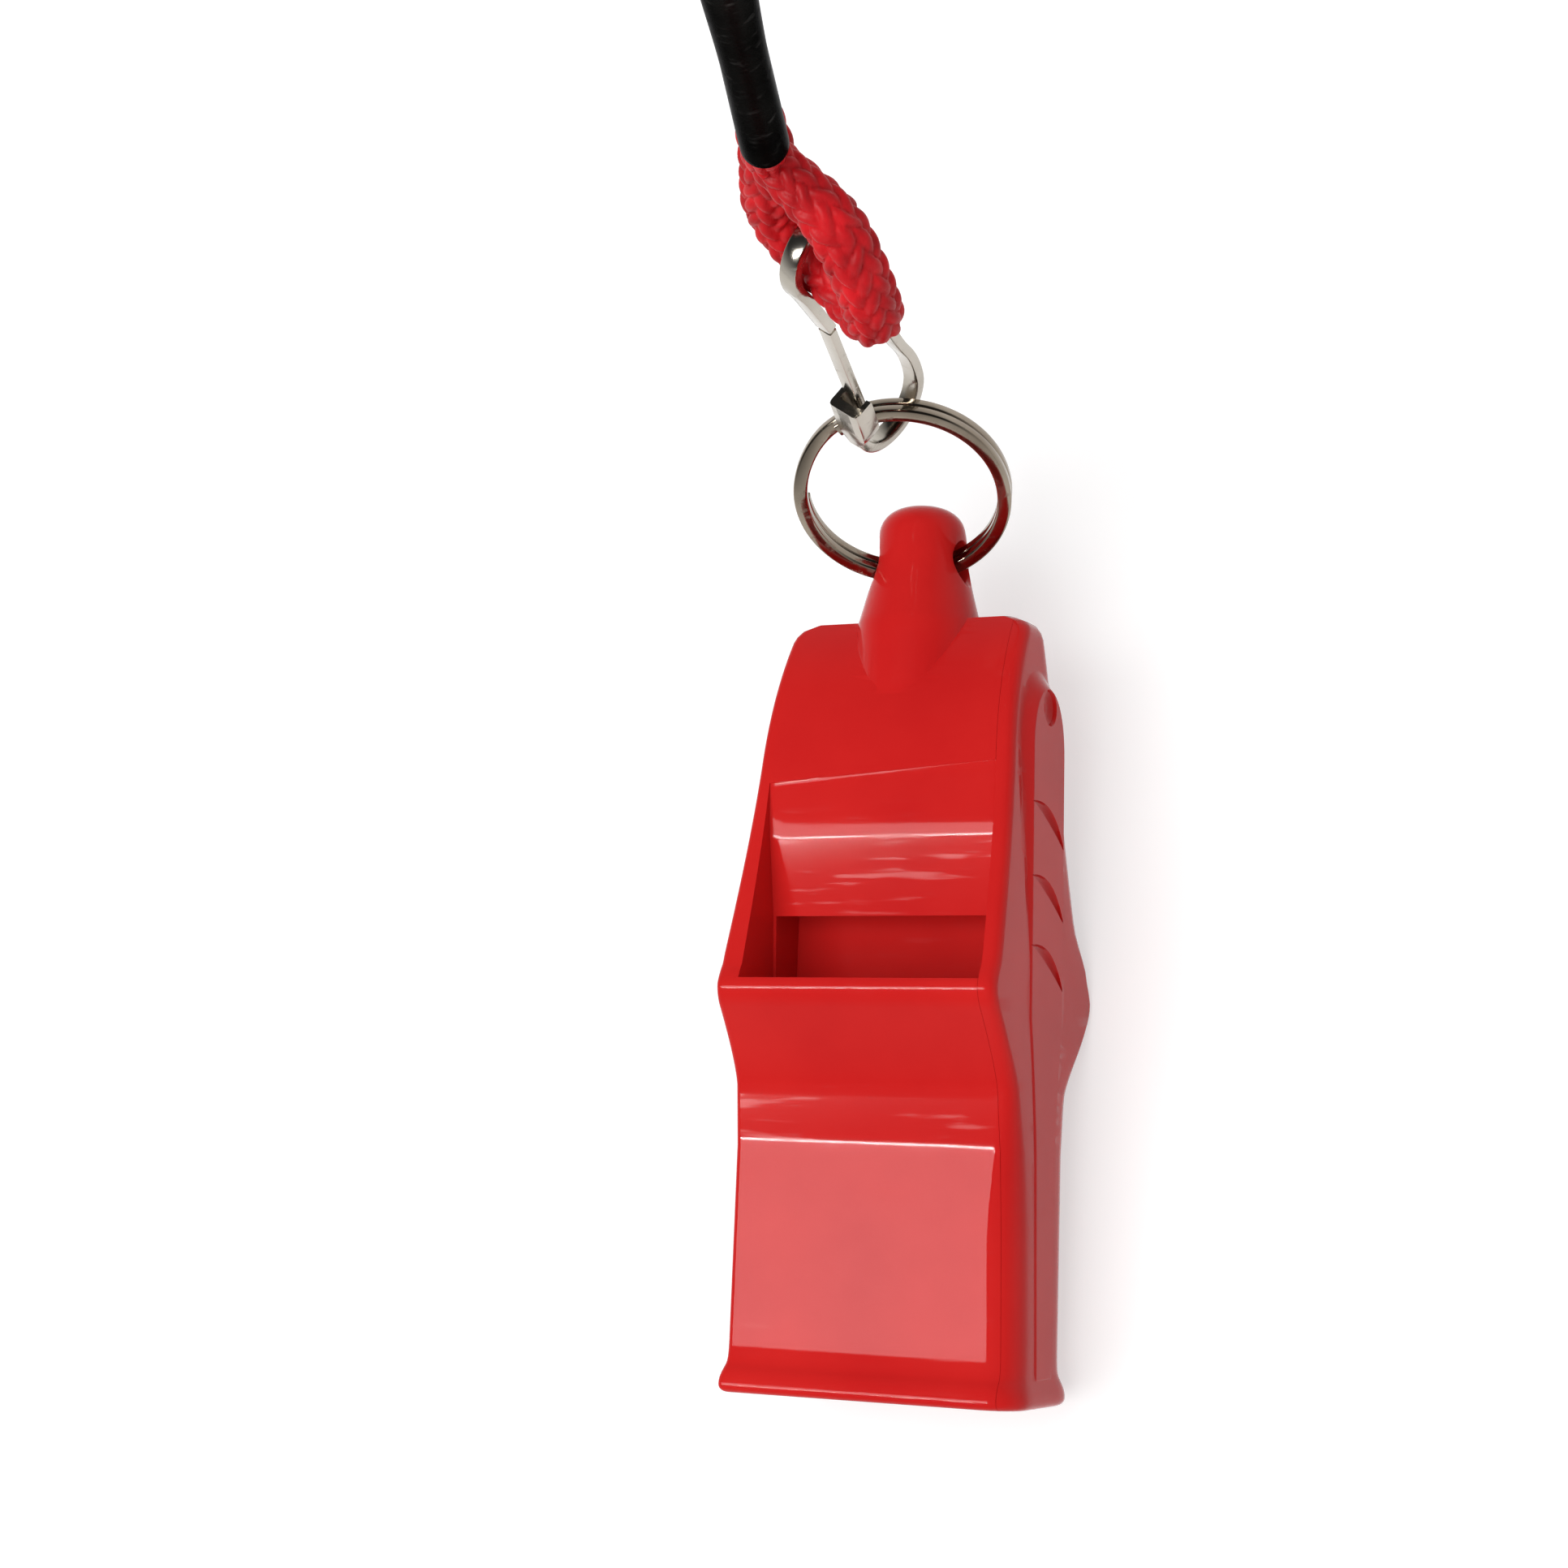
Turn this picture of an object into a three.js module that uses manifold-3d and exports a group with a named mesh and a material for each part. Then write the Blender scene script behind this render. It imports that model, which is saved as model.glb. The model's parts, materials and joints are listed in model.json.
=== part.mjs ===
// Two-chamber whistle without a ball, lying on a table with its lanyard held up.
// Millimetres, +Z up. The origin is where the lanyard is held, inside its top bend.
import * as THREE from "three";
import { mergeVertices } from "three/addons/utils/BufferGeometryUtils.js";
import Module from "manifold-3d";

const wasm = await Module();
wasm.setup();

const degrees = Math.PI / 180;

// Whistle: X is its width, Z runs along it from the bite lip, -Y is its front.
const barrelTop = 50.3;
const topHalfWidth = 8.2;
const waistHalfWidth = 9.4;
const waistHeight = 28;
const bottomHalfWidth = 9.85;
const topHalfDepth = 1.2;
const barrelHalfDepth = 5.1;
const barrelShoulder = 41;
const lipHeight = 26.4;
const lipHalfDepth = 9;
const lipThickness = 2;
const creaseHeight = 16;
const creaseHalfDepth = 4.9;
const mouthHalfDepth = 4.6;
const biteHeight = 1.5;
const biteHalfDepth = 5.2;
const biteHalfWidth = 10.15;
const lieAngle = 5.3 * degrees;

// Hollow inside: two chambers and two wind ways, open towards the cover.
const middleWall = 1.2;
const leftWall = 1;
const barrelWall = 1.3;
const windwayGap = 1.3;
const windwayInner = 2.6;
const windwayInnerAtExit = 3.4;
const windowLeft = -7.9;
const labiumHeight = 30.7;
const labiumHalfDepth = 4.4;
const rampHeight = 35.9;
const rampHalfDepth = 5.05;
const rampTop = 40;
const coverEdge = 1.1;
const seamGap = 0.3;

// Raised side panels with one dimple and three crescent grooves each.
const panelFace = 9.95;
const panelTaper = 0.9 * degrees;
const panelHeight = 0.9;
const panelSlope = 1.6;
const panelHalfWidth = 2.7;
const panelHalfWidthAtMouth = 1.2;
const panelTop = 45.5;
const panelBottom = 2.2;
const grooveDepth = 0.45;
const grooveLength = 6.4;
const grooveWidth = 1.1;
const grooveHeights = [36.7, 32, 27.6];
const grooveSlope = 25 * degrees;
const dimpleRadius = 1.25;
const dimpleHeight = 44.4;

// Eye for the ring.
const eyeOverBarrel = 4;
const eyeHeight = barrelTop + eyeOverBarrel;
const eyeHole = 3.6;
const eyeHoleAtEnds = 5;
const neckRadius = 3;
const neckFootRadius = 4.1;
const neckFlareRadius = 3.5;
const neckFlareHeight = 2.2;
const neckOverEye = 3.8;
const neckTop = eyeHeight + neckOverEye;

// Split ring: one flat wire wound twice.
const ringOutside = 14;
const ringWireWide = 0.9;
const ringWireHigh = 0.5;
const ringTurnGap = 0.45;
const ringJog = 25 * degrees;
const ringEndGap = 30 * degrees;
const ringEndsAt = 150 * degrees;

// Snap hook bent from one flat strip.
const stripWide = 1.2;
const stripThick = 0.7;
const clipLength = 23.4;
const hookRadius = 3.2;
const hookMiddle = 1.3;
const hookEndHeight = 6.6;
const kinkHeight = 14.8;
const kinkSide = -0.9;
const gateTipHeight = 3.7;
const gateWide = 1;
const gateGap = 0.3;
const clipEyeRadius = 2.55;
const clipEyeSide = 0.35;
const troughWide = 2.3;
const troughWall = 0.35;
const troughDeep = 1.5;
const ringSeatSide = 1.4;
const ringSeatGap = 1.15;

// Cord, crimp sleeve and the way that they are held.
const cordDiameter = 3.4;
const cordGap = 0.3;
const sleeveLength = 27.5;
const sleeveThick = 2.7;
const sleeveWide = 7.4;
const cordDrop = 1;
const sleeveOverCord = 14;
const sleeveAside = -1.2;
const lanyardRise = 57.5;
const lanyardBend = 8;

// Directions seen from the table: x along the whistle's width, y towards its ring, z up.
const ringLean = new THREE.Vector3(0.129, 0.457, 0.88).normalize();
const ringAxis = new THREE.Vector3(0.195, -0.832, 0.52).normalize();
const ringToHook = new THREE.Vector3(0.153, 0.549, 0.823).normalize();
const clipUp = new THREE.Vector3(0.2, 0.202, 0.959).normalize();
const clipSide = new THREE.Vector3(0.5, 0.821, -0.276).normalize();
const cordAcross = new THREE.Vector3(0.697, -0.717, 0.006).normalize();
const sleeveUp = new THREE.Vector3(0.37, -0.139, 0.919).normalize();
const sleeveSide = new THREE.Vector3(0.221, -0.947, -0.232).normalize();

// Materials
function material(name, color, roughness, metalness) {
  const made = new THREE.MeshStandardMaterial({ color, roughness, metalness });
  made.name = name;
  return made;
}
const redPlastic = material("red_plastic", 0xd8222a, 0.22, 0);
const nickel = material("nickel_strip", 0xc9c6bf, 0.25, 1);
const steelWire = material("ring_steel", 0xb9b5ad, 0.22, 1);
const redCord = material("red_braid", 0xc4141c, 0.85, 0);
const darkMetal = material("dark_sleeve", 0x4b4947, 0.4, 1);

// Solids from three.js geometry
function solid(geometry) {
  const bare = geometry.index ? geometry.toNonIndexed() : geometry.clone();
  bare.deleteAttribute("normal");
  bare.deleteAttribute("uv");
  const merged = mergeVertices(bare, 1e-4);
  const vertProperties = new Float32Array(merged.attributes.position.array);
  const triVerts = new Uint32Array(merged.index.array);
  return new wasm.Manifold(new wasm.Mesh({ numProp: 3, vertProperties, triVerts }));
}

function geometryOf(manifold) {
  const mesh = manifold.getMesh();
  const geometry = new THREE.BufferGeometry();
  geometry.setAttribute("position", new THREE.BufferAttribute(new Float32Array(mesh.vertProperties), 3));
  geometry.setIndex(new THREE.BufferAttribute(new Uint32Array(mesh.triVerts), 1));
  const flat = geometry.toNonIndexed();
  flat.computeVertexNormals();
  return flat;
}

// Extrudes an outline drawn in (Y, Z) along X, from x0 to x1.
function alongX(shape, x0, x1, segments = 6) {
  const geometry = new THREE.ExtrudeGeometry(shape, {
    depth: x1 - x0, bevelEnabled: false, curveSegments: segments,
  });
  geometry.rotateX(Math.PI / 2);
  geometry.rotateZ(Math.PI / 2);
  geometry.translate(x0, 0, 0);
  return geometry;
}

// Extrudes an outline drawn in (X, Z) along Y, to both sides.
function alongY(shape, halfDepth, segments = 6) {
  const geometry = new THREE.ExtrudeGeometry(shape, {
    depth: 2 * halfDepth, bevelEnabled: false, curveSegments: segments,
  });
  geometry.rotateX(Math.PI / 2);
  geometry.translate(0, halfDepth, 0);
  return geometry;
}

function polygon(points) {
  return new THREE.Shape(points.map(([x, y]) => new THREE.Vector2(x, y)));
}

function bothSides(points, x0, x1) {
  const back = solid(alongX(polygon(points), x0, x1));
  const mirrored = points.map(([y, z]) => [-y, z]).reverse();
  return back.add(solid(alongX(polygon(mirrored), x0, x1)));
}

// Half width of the whistle seen from the front, without the bite lip
function halfWidthAt(z) {
  if (z < waistHeight) return THREE.MathUtils.mapLinear(z, 0, waistHeight, bottomHalfWidth, waistHalfWidth);
  return THREE.MathUtils.mapLinear(z, waistHeight, barrelTop, waistHalfWidth, topHalfWidth);
}

// Side outline of the whistle: bite lip, mouthpiece, lips and barrel, both ways from the middle
function sideOutline() {
  const half = new THREE.Path();
  half.moveTo(biteHalfDepth - 0.5, 0);
  half.quadraticCurveTo(biteHalfDepth, 0.1, biteHalfDepth, 0.6);
  half.quadraticCurveTo(biteHalfDepth, biteHeight, mouthHalfDepth + 0.45, biteHeight + 0.5);
  half.quadraticCurveTo(mouthHalfDepth, biteHeight + 1.2, mouthHalfDepth, biteHeight + 3);
  half.lineTo(mouthHalfDepth, creaseHeight - 5);
  half.lineTo(creaseHalfDepth, creaseHeight);
  half.lineTo(creaseHalfDepth + 0.5, creaseHeight + 3.8);
  half.quadraticCurveTo(creaseHalfDepth + 0.9, creaseHeight + 5.2,
    lipHalfDepth - 0.7, lipHeight - lipThickness);
  half.quadraticCurveTo(lipHalfDepth, lipHeight - 1.2, lipHalfDepth, lipHeight - 0.4);
  half.quadraticCurveTo(lipHalfDepth - 0.1, lipHeight + 0.1, lipHalfDepth - 0.6, lipHeight + 0.9);
  half.bezierCurveTo(lipHalfDepth - 2, lipHeight + 5.5, barrelHalfDepth + 0.6, barrelShoulder - 4.5,
    barrelHalfDepth, barrelShoulder);
  half.quadraticCurveTo(barrelHalfDepth - 0.8, barrelTop - 4.1, topHalfDepth, barrelTop);
  const points = half.getPoints(5);
  const mirrored = points.map((p) => new THREE.Vector2(-p.x, p.y)).reverse();
  return new THREE.Shape(points.concat(mirrored));
}

// Front outline: the taper, with the bite lip standing out at the bottom
function frontOutline() {
  const rise = biteHeight + 0.8;
  const right = [
    [biteHalfWidth - 0.4, 0], [biteHalfWidth, 0.4], [biteHalfWidth, biteHeight - 0.3],
    [halfWidthAt(rise), rise], [waistHalfWidth, waistHeight], [topHalfWidth, barrelTop + 0.1],
  ];
  const left = right.map(([x, z]) => [-x, z]).reverse();
  return polygon(right.concat(left));
}

function neck() {
  const profile = [
    [0, barrelShoulder - 1], [neckFootRadius, barrelShoulder - 1], [neckFootRadius, barrelTop],
    [neckFlareRadius, barrelTop + neckFlareHeight], [neckRadius + 0.1, eyeHeight], [neckRadius, eyeHeight + 1],
    [neckRadius * 0.86, neckTop - 1.1], [neckRadius * 0.5, neckTop - 0.3], [0, neckTop],
  ].map(([r, z]) => new THREE.Vector2(r, z));
  const geometry = new THREE.LatheGeometry(profile, 24);
  geometry.rotateX(Math.PI / 2);
  return solid(geometry);
}

function bar(radius, length, sides) {
  const geometry = new THREE.CylinderGeometry(radius, radius, length, sides);
  geometry.rotateZ(Math.PI / 2);
  return geometry;
}

// Hole across the neck, wider at both ends
function eyeBore() {
  const profile = [
    [0, -neckRadius - 1], [eyeHoleAtEnds / 2, -neckRadius - 1], [eyeHoleAtEnds / 2, -neckRadius + 0.3],
    [eyeHole / 2, -neckRadius / 3], [eyeHole / 2, neckRadius / 3],
    [eyeHoleAtEnds / 2, neckRadius - 0.3], [eyeHoleAtEnds / 2, neckRadius + 1], [0, neckRadius + 1],
  ].map(([r, x]) => new THREE.Vector2(r, x));
  const geometry = new THREE.LatheGeometry(profile, 20);
  geometry.rotateZ(-Math.PI / 2);
  geometry.translate(0, 0, eyeHeight);
  return solid(geometry);
}

// Chambers: from the lip's shelf up inside the barrel wall
function chambers() {
  const inner = middleWall / 2;
  const points = [
    [inner, lipHeight], [labiumHalfDepth, lipHeight], [labiumHalfDepth, labiumHeight],
    [rampHalfDepth - barrelWall, rampHeight], [barrelHalfDepth - barrelWall, barrelShoulder - 1],
    [barrelHalfDepth / 2 - barrelWall / 2, barrelTop - 5.2], [inner, barrelTop - 2.6],
  ];
  return bothSides(points, leftWall - halfWidthAt(barrelShoulder), bottomHalfWidth);
}

// Windows: the slot between labium and lip, and the ramp above it, which the cover closes on the right
function windows() {
  const far = lipHalfDepth + 2;
  const points = [
    [labiumHalfDepth - 0.3, lipHeight], [far, lipHeight], [far, rampTop + 0.5],
    [rampHalfDepth + 0.15, rampTop], [rampHalfDepth, rampHeight], [labiumHalfDepth, labiumHeight],
  ];
  return bothSides(points, windowLeft, bottomHalfWidth);
}

// Wind ways: flat channels from the bite lip to the windows
function windways() {
  const points = [
    [windwayInner, -1], [windwayInner + windwayGap, -1],
    [windwayInner + windwayGap, creaseHeight], [windwayInnerAtExit + windwayGap, lipHeight + 0.1],
    [windwayInnerAtExit, lipHeight + 0.1], [windwayInner, creaseHeight],
  ];
  return bothSides(points, leftWall - waistHalfWidth, bottomHalfWidth);
}

// Side panel: a flat plateau with sloping edges and a round top; sign 1 is the cover's side
function panel(face, sign) {
  const shape = new THREE.Shape();
  const shoulder = panelTop - 1.5 * panelHalfWidth;
  shape.moveTo(-panelHalfWidthAtMouth, panelBottom);
  shape.lineTo(panelHalfWidthAtMouth, panelBottom);
  shape.lineTo(panelHalfWidthAtMouth + 0.4, creaseHeight);
  shape.lineTo(panelHalfWidth, lipHeight - lipThickness);
  shape.lineTo(panelHalfWidth, shoulder);
  shape.quadraticCurveTo(panelHalfWidth, panelTop, 0, panelTop);
  shape.quadraticCurveTo(-panelHalfWidth, panelTop, -panelHalfWidth, shoulder);
  shape.lineTo(-panelHalfWidth, lipHeight - lipThickness);
  shape.lineTo(-panelHalfWidthAtMouth - 0.4, creaseHeight);
  shape.closePath();
  const geometry = new THREE.ExtrudeGeometry(shape, {
    depth: 1, bevelEnabled: true, bevelThickness: panelHeight, bevelSize: panelSlope, bevelSegments: 1,
    curveSegments: 6,
  });
  geometry.translate(0, 0, -1 - panelHeight);
  geometry.rotateX(Math.PI / 2);
  geometry.rotateZ(Math.PI / 2);
  geometry.rotateY(-panelTaper);
  if (sign < 0) geometry.rotateZ(Math.PI);
  geometry.translate(sign * face, 0, 0);
  return solid(geometry);
}

function panelFaceAt(face, z) {
  return face - z * Math.tan(panelTaper);
}

// Crescent groove across a side panel, rising towards the front
function crescent(x, height, sign) {
  const shape = new THREE.Shape();
  const half = grooveLength / 2;
  shape.moveTo(-half, 0);
  shape.quadraticCurveTo(0, 2 * grooveWidth, half, 0);
  shape.quadraticCurveTo(0, 0.4 * grooveWidth, -half, 0);
  const geometry = alongX(shape, -grooveDepth, grooveDepth, 5);
  geometry.rotateX(-grooveSlope);
  geometry.translate(sign * x, 0, height);
  return solid(geometry);
}

function dimple(x, sign) {
  const geometry = bar(dimpleRadius, 2 * grooveDepth, 16);
  geometry.translate(sign * x, 0, dimpleHeight);
  return solid(geometry);
}

function sideMarks(face, sign) {
  const marks = dimple(panelFaceAt(face, dimpleHeight), sign);
  return grooveHeights.reduce(
    (cuts, height) => cuts.add(crescent(panelFaceAt(face, height), height, sign)), marks);
}

// Outer block of the whistle, split at the seam into body and cover
const block = solid(alongX(sideOutline(), -biteHalfWidth - 1, biteHalfWidth + 1))
  .intersect(solid(alongY(frontOutline(), lipHalfDepth + 1)));

// Everything on the cover's side of the seam, which follows the taper of the side
function coverSide(shift) {
  const far = biteHalfWidth + 2;
  const inside = (z) => halfWidthAt(z) - coverEdge + shift;
  const outline = polygon([
    [inside(-2), -2], [far, -2], [far, neckTop], [inside(neckTop), neckTop],
    [inside(waistHeight), waistHeight],
  ]);
  return solid(alongY(outline, lipHalfDepth + 2));
}

function whistleBody() {
  return block.add(panel(panelFace, -1))
    .subtract(coverSide(0))
    .add(neck())
    .subtract(chambers())
    .subtract(windways())
    .subtract(windows())
    .subtract(eyeBore())
    .subtract(sideMarks(panelFace, -1));
}

function sideCover() {
  return block.add(panel(panelFace, 1))
    .intersect(coverSide(seamGap))
    .subtract(sideMarks(panelFace, 1));
}

// Closed tube through a row of sections that have the same number of points each
function sweep(sections) {
  const count = sections[0].length;
  const positions = sections.flat().flatMap((p) => [p.x, p.y, p.z]);
  const index = [];
  for (let i = 0; i < sections.length - 1; i++) {
    for (let j = 0; j < count; j++) {
      const a = i * count + j;
      const b = i * count + (j + 1) % count;
      index.push(a, b, b + count, a, b + count, a + count);
    }
  }
  const last = (sections.length - 1) * count;
  for (let j = 1; j < count - 1; j++) {
    index.push(0, j + 1, j);
    index.push(last, last + j, last + j + 1);
  }
  const geometry = new THREE.BufferGeometry();
  geometry.setAttribute("position", new THREE.Float32BufferAttribute(positions, 3));
  geometry.setIndex(index);
  const flat = geometry.toNonIndexed();
  flat.computeVertexNormals();
  return flat;
}

// Split ring: the wire climbs by one turn in the jog where its two ends lie
const ringRadius = (ringOutside - ringWireWide) / 2;
const ringClimb = ringWireHigh + ringTurnGap;

function ringHeight(angle) {
  const t = THREE.MathUtils.clamp((angle - 2 * Math.PI + ringJog) / (2 * ringJog), 0, 1);
  return ringClimb * (t * t * (3 - 2 * t) - 0.5);
}

function ringSections() {
  const stepsPerTurn = 24;
  const first = ringEndGap;
  const whole = 4 * Math.PI - 2 * ringEndGap;
  const steps = Math.round(whole / (2 * Math.PI) * stepsPerTurn);
  const w = ringWireWide / 2;
  const h = ringWireHigh / 2;
  const section = [[-w, 0], [-w, h], [w * 0.7, h], [w, 0], [w * 0.7, -h], [-w, -h]];
  return Array.from({ length: steps + 1 }, (_, i) => {
    const angle = first + whole * i / steps;
    const turn = angle + ringEndsAt;
    return section.map(([r, z]) => new THREE.Vector3(
      (ringRadius + r) * Math.cos(turn), (ringRadius + r) * Math.sin(turn), ringHeight(angle) + z));
  });
}

function leastGap(sections, skip) {
  let least = Infinity;
  sections.forEach((a, i) => sections.forEach((b, j) => {
    if (j < i + skip) return;
    a.forEach((p) => b.forEach((q) => { least = Math.min(least, p.distanceTo(q)); }));
  }));
  return least;
}

// Ribbon of even thickness round a centre line, as a closed outline
function ribbon(line, thickness) {
  const normalAt = (i) => {
    const before = line[Math.max(i - 1, 0)];
    const after = line[Math.min(i + 1, line.length - 1)];
    return new THREE.Vector2(-(after.y - before.y), after.x - before.x).normalize();
  };
  const shifted = (amount) => line.map((p, i) => p.clone().addScaledVector(normalAt(i), amount));
  return new THREE.Shape(shifted(thickness / 2).concat(shifted(-thickness / 2).reverse()));
}

// Extrudes an outline in the clip's plane across the strip
function acrossStrip(shape, wide) {
  const geometry = new THREE.ExtrudeGeometry(shape, { depth: wide, bevelEnabled: false, curveSegments: 6 });
  geometry.translate(0, 0, -wide / 2);
  return geometry;
}

const halfStrip = stripThick / 2;
const hookLine = hookRadius - halfStrip;
const troughSide = hookMiddle - hookLine;
const clipEyeHeight = clipLength - clipEyeRadius - halfStrip;

function clipLine() {
  const line = new THREE.Path();
  const right = hookMiddle + hookLine;
  line.moveTo(troughSide, hookEndHeight);
  line.lineTo(troughSide, hookRadius);
  line.absarc(hookMiddle, hookRadius, hookLine, Math.PI, 2 * Math.PI, false);
  line.quadraticCurveTo(right + 0.1, hookRadius + 2.2, right - 0.6, hookRadius + 3.8);
  line.lineTo(clipEyeSide + 1.9, kinkHeight - 0.4);
  line.quadraticCurveTo(clipEyeSide + clipEyeRadius - 0.4, kinkHeight + 1.4,
    clipEyeSide + clipEyeRadius, clipEyeHeight - 1.2);
  line.absarc(clipEyeSide, clipEyeHeight, clipEyeRadius, 0, 1.17 * Math.PI, false);
  line.lineTo(kinkSide, kinkHeight);
  const points = line.getPoints(10);
  return points.filter((p, i) => i === 0 || p.distanceTo(points[i - 1]) > 0.05);
}

function clipFrame() {
  const strip = solid(acrossStrip(ribbon(clipLine(), stripThick), stripWide));
  const outside = troughSide - halfStrip;
  const low = hookRadius - 0.4;
  const trough = solid(acrossStrip(polygon([
    [outside, low], [outside + troughDeep, low + 0.8],
    [outside + troughDeep, hookEndHeight], [outside, hookEndHeight],
  ]), troughWide));
  const channel = solid(acrossStrip(polygon([
    [outside + stripThick, low - 1], [outside + troughDeep + 1, low - 1],
    [outside + troughDeep + 1, hookEndHeight + 1], [outside + stripThick, hookEndHeight + 1],
  ]), troughWide - 2 * troughWall));
  return strip.add(trough.subtract(channel));
}

function clipGate() {
  const tipSide = troughSide + stripThick + gateGap;
  const top = new THREE.Vector2(kinkSide, kinkHeight);
  const tip = new THREE.Vector2(tipSide, gateTipHeight);
  const down = tip.clone().sub(top).normalize();
  const line = [top.addScaledVector(down, gateGap + 0.1), tip];
  return acrossStrip(ribbon(line, stripThick - 0.1), gateWide);
}

// Places a mesh whose own axes are given as directions
function place(mesh, origin, xAxis, yAxis) {
  const zAxis = new THREE.Vector3().crossVectors(xAxis, yAxis).normalize();
  const side = new THREE.Vector3().crossVectors(yAxis, zAxis).normalize();
  mesh.quaternion.setFromRotationMatrix(new THREE.Matrix4().makeBasis(side, yAxis, zAxis));
  mesh.position.copy(origin);
  return mesh;
}

function named(name, geometry, look) {
  const mesh = new THREE.Mesh(geometry, look);
  mesh.name = name;
  return mesh;
}

function along(origin, ...moves) {
  const point = origin.clone();
  moves.forEach(([direction, amount]) => point.addScaledVector(direction, amount));
  return point;
}

// Round cord along a curve
function cord(points, steps) {
  const section = new THREE.Shape();
  const sides = 8;
  for (let i = 0; i < sides; i++) {
    const turn = 2 * Math.PI * (i + 0.5) / sides;
    const x = cordDiameter / 2 * Math.cos(turn);
    const y = cordDiameter / 2 * Math.sin(turn);
    if (i === 0) section.moveTo(x, y);
    else section.lineTo(x, y);
  }
  const path = new THREE.CatmullRomCurve3(points, false, "centripetal");
  return new THREE.ExtrudeGeometry(section, { steps, bevelEnabled: false, extrudePath: path });
}

// Places in table coordinates, starting at the whistle's bite lip
const eye = new THREE.Vector3(0, eyeHeight * Math.cos(lieAngle), eyeHeight * Math.sin(lieAngle));
const ringMiddle = along(eye, [ringLean, ringRadius]);
const hookPoint = along(ringMiddle, [ringToHook, ringRadius]);
const clipAcross = new THREE.Vector3().crossVectors(clipSide, clipUp).normalize();
const seatHeight = stripThick + ringSeatGap + ringWireWide / 2;
const clipFoot = along(hookPoint, [clipSide, -ringSeatSide], [clipUp, -seatHeight]);
const cordSeat = along(clipFoot, [clipSide, clipEyeSide], [clipUp, clipEyeHeight - cordDrop]);
const sleeveFoot = along(cordSeat, [clipUp, sleeveOverCord], [clipAcross, sleeveAside]);
const sleeveTop = along(sleeveFoot, [sleeveUp, sleeveLength]);
const strandSide = cordDiameter / 2 + cordGap / 2;
const bendMiddle = along(sleeveTop, [sleeveUp, lanyardRise]);
const heldAt = along(bendMiddle, [sleeveUp, lanyardBend - cordDiameter / 2]);

// Small eye of the cord under the sleeve, through the clip's top loop
function cordLoopPoints() {
  return [
    along(sleeveFoot, [sleeveSide, strandSide], [sleeveUp, -cordGap]),
    along(sleeveFoot, [sleeveSide, strandSide + 0.2], [sleeveUp, -2.6]),
    along(cordSeat, [cordAcross, 3.3], [clipUp, 7.5]),
    along(cordSeat, [cordAcross, 5], [clipUp, 3.4]),
    along(cordSeat, [cordAcross, 4.6], [clipUp, -0.4]),
    along(cordSeat, [cordAcross, 2.2], [clipUp, -0.15]),
    along(cordSeat, [cordAcross, 0]),
    along(cordSeat, [cordAcross, -1.9], [clipUp, 0.5], [clipSide, -0.3]),
    along(cordSeat, [cordAcross, -3.1], [clipUp, 3.2], [clipSide, -0.6]),
    along(cordSeat, [cordAcross, -2.6], [clipUp, 7.5], [clipSide, -0.1]),
    along(sleeveFoot, [sleeveSide, -strandSide - 0.2], [sleeveUp, -2.6]),
    along(sleeveFoot, [sleeveSide, -strandSide], [sleeveUp, -cordGap]),
  ];
}

// Two strands above the sleeve, up to the bend where they are held
function lanyardPoints() {
  const strand = (side) => [
    along(sleeveTop, [sleeveSide, side * strandSide], [sleeveUp, cordGap]),
    along(sleeveTop, [sleeveSide, side * strandSide], [sleeveUp, lanyardRise * 0.2]),
    along(sleeveTop, [sleeveSide, side * (strandSide + 1.2)], [sleeveUp, lanyardRise * 0.5]),
    along(sleeveTop, [sleeveSide, side * (lanyardBend - 1)], [sleeveUp, lanyardRise * 0.85]),
    along(bendMiddle, [sleeveSide, side * lanyardBend]),
    along(bendMiddle, [sleeveSide, side * lanyardBend * 0.7], [sleeveUp, lanyardBend * 0.7]),
  ];
  const top = along(bendMiddle, [sleeveUp, lanyardBend]);
  return [...strand(1), top, ...strand(-1).reverse()];
}

function sleeve() {
  const half = sleeveWide / 2 - sleeveThick / 2;
  const outline = new THREE.Shape();
  outline.absarc(half, 0, sleeveThick / 2, -Math.PI / 2, Math.PI / 2, false);
  outline.absarc(-half, 0, sleeveThick / 2, Math.PI / 2, 1.5 * Math.PI, false);
  const geometry = new THREE.ExtrudeGeometry(outline, {
    depth: sleeveLength, bevelEnabled: false, curveSegments: 8,
  });
  geometry.rotateX(-Math.PI / 2);
  return geometry;
}

const sections = ringSections();
console.log("ring: least gap between its turns, measured on points:",
  leastGap(sections, 12).toFixed(2), "mm");

const whistle = new THREE.Group();
whistle.rotation.x = lieAngle - Math.PI / 2;
whistle.add(named("whistle_body", geometryOf(whistleBody()), redPlastic));
whistle.add(named("side_cover", geometryOf(sideCover()), redPlastic));

const assembly = new THREE.Group();
assembly.add(whistle);
assembly.add(place(named("split_ring", sweep(sections), steelWire), ringMiddle,
  new THREE.Vector3().crossVectors(ringToHook, ringAxis), ringToHook));
assembly.add(place(named("clip_frame", geometryOf(clipFrame()), nickel), clipFoot, clipSide, clipUp));
assembly.add(place(named("clip_gate", clipGate(), nickel), clipFoot, clipSide, clipUp));
assembly.add(place(named("cord_sleeve", sleeve(), darkMetal), sleeveFoot, sleeveSide, sleeveUp));
assembly.add(named("cord_loop", cord(cordLoopPoints(), 24), redCord));
assembly.add(named("lanyard_cord", cord(lanyardPoints(), 36), redCord));
assembly.position.copy(heldAt).negate();

const model = new THREE.Group();
model.add(assembly);

export default model;
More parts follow.
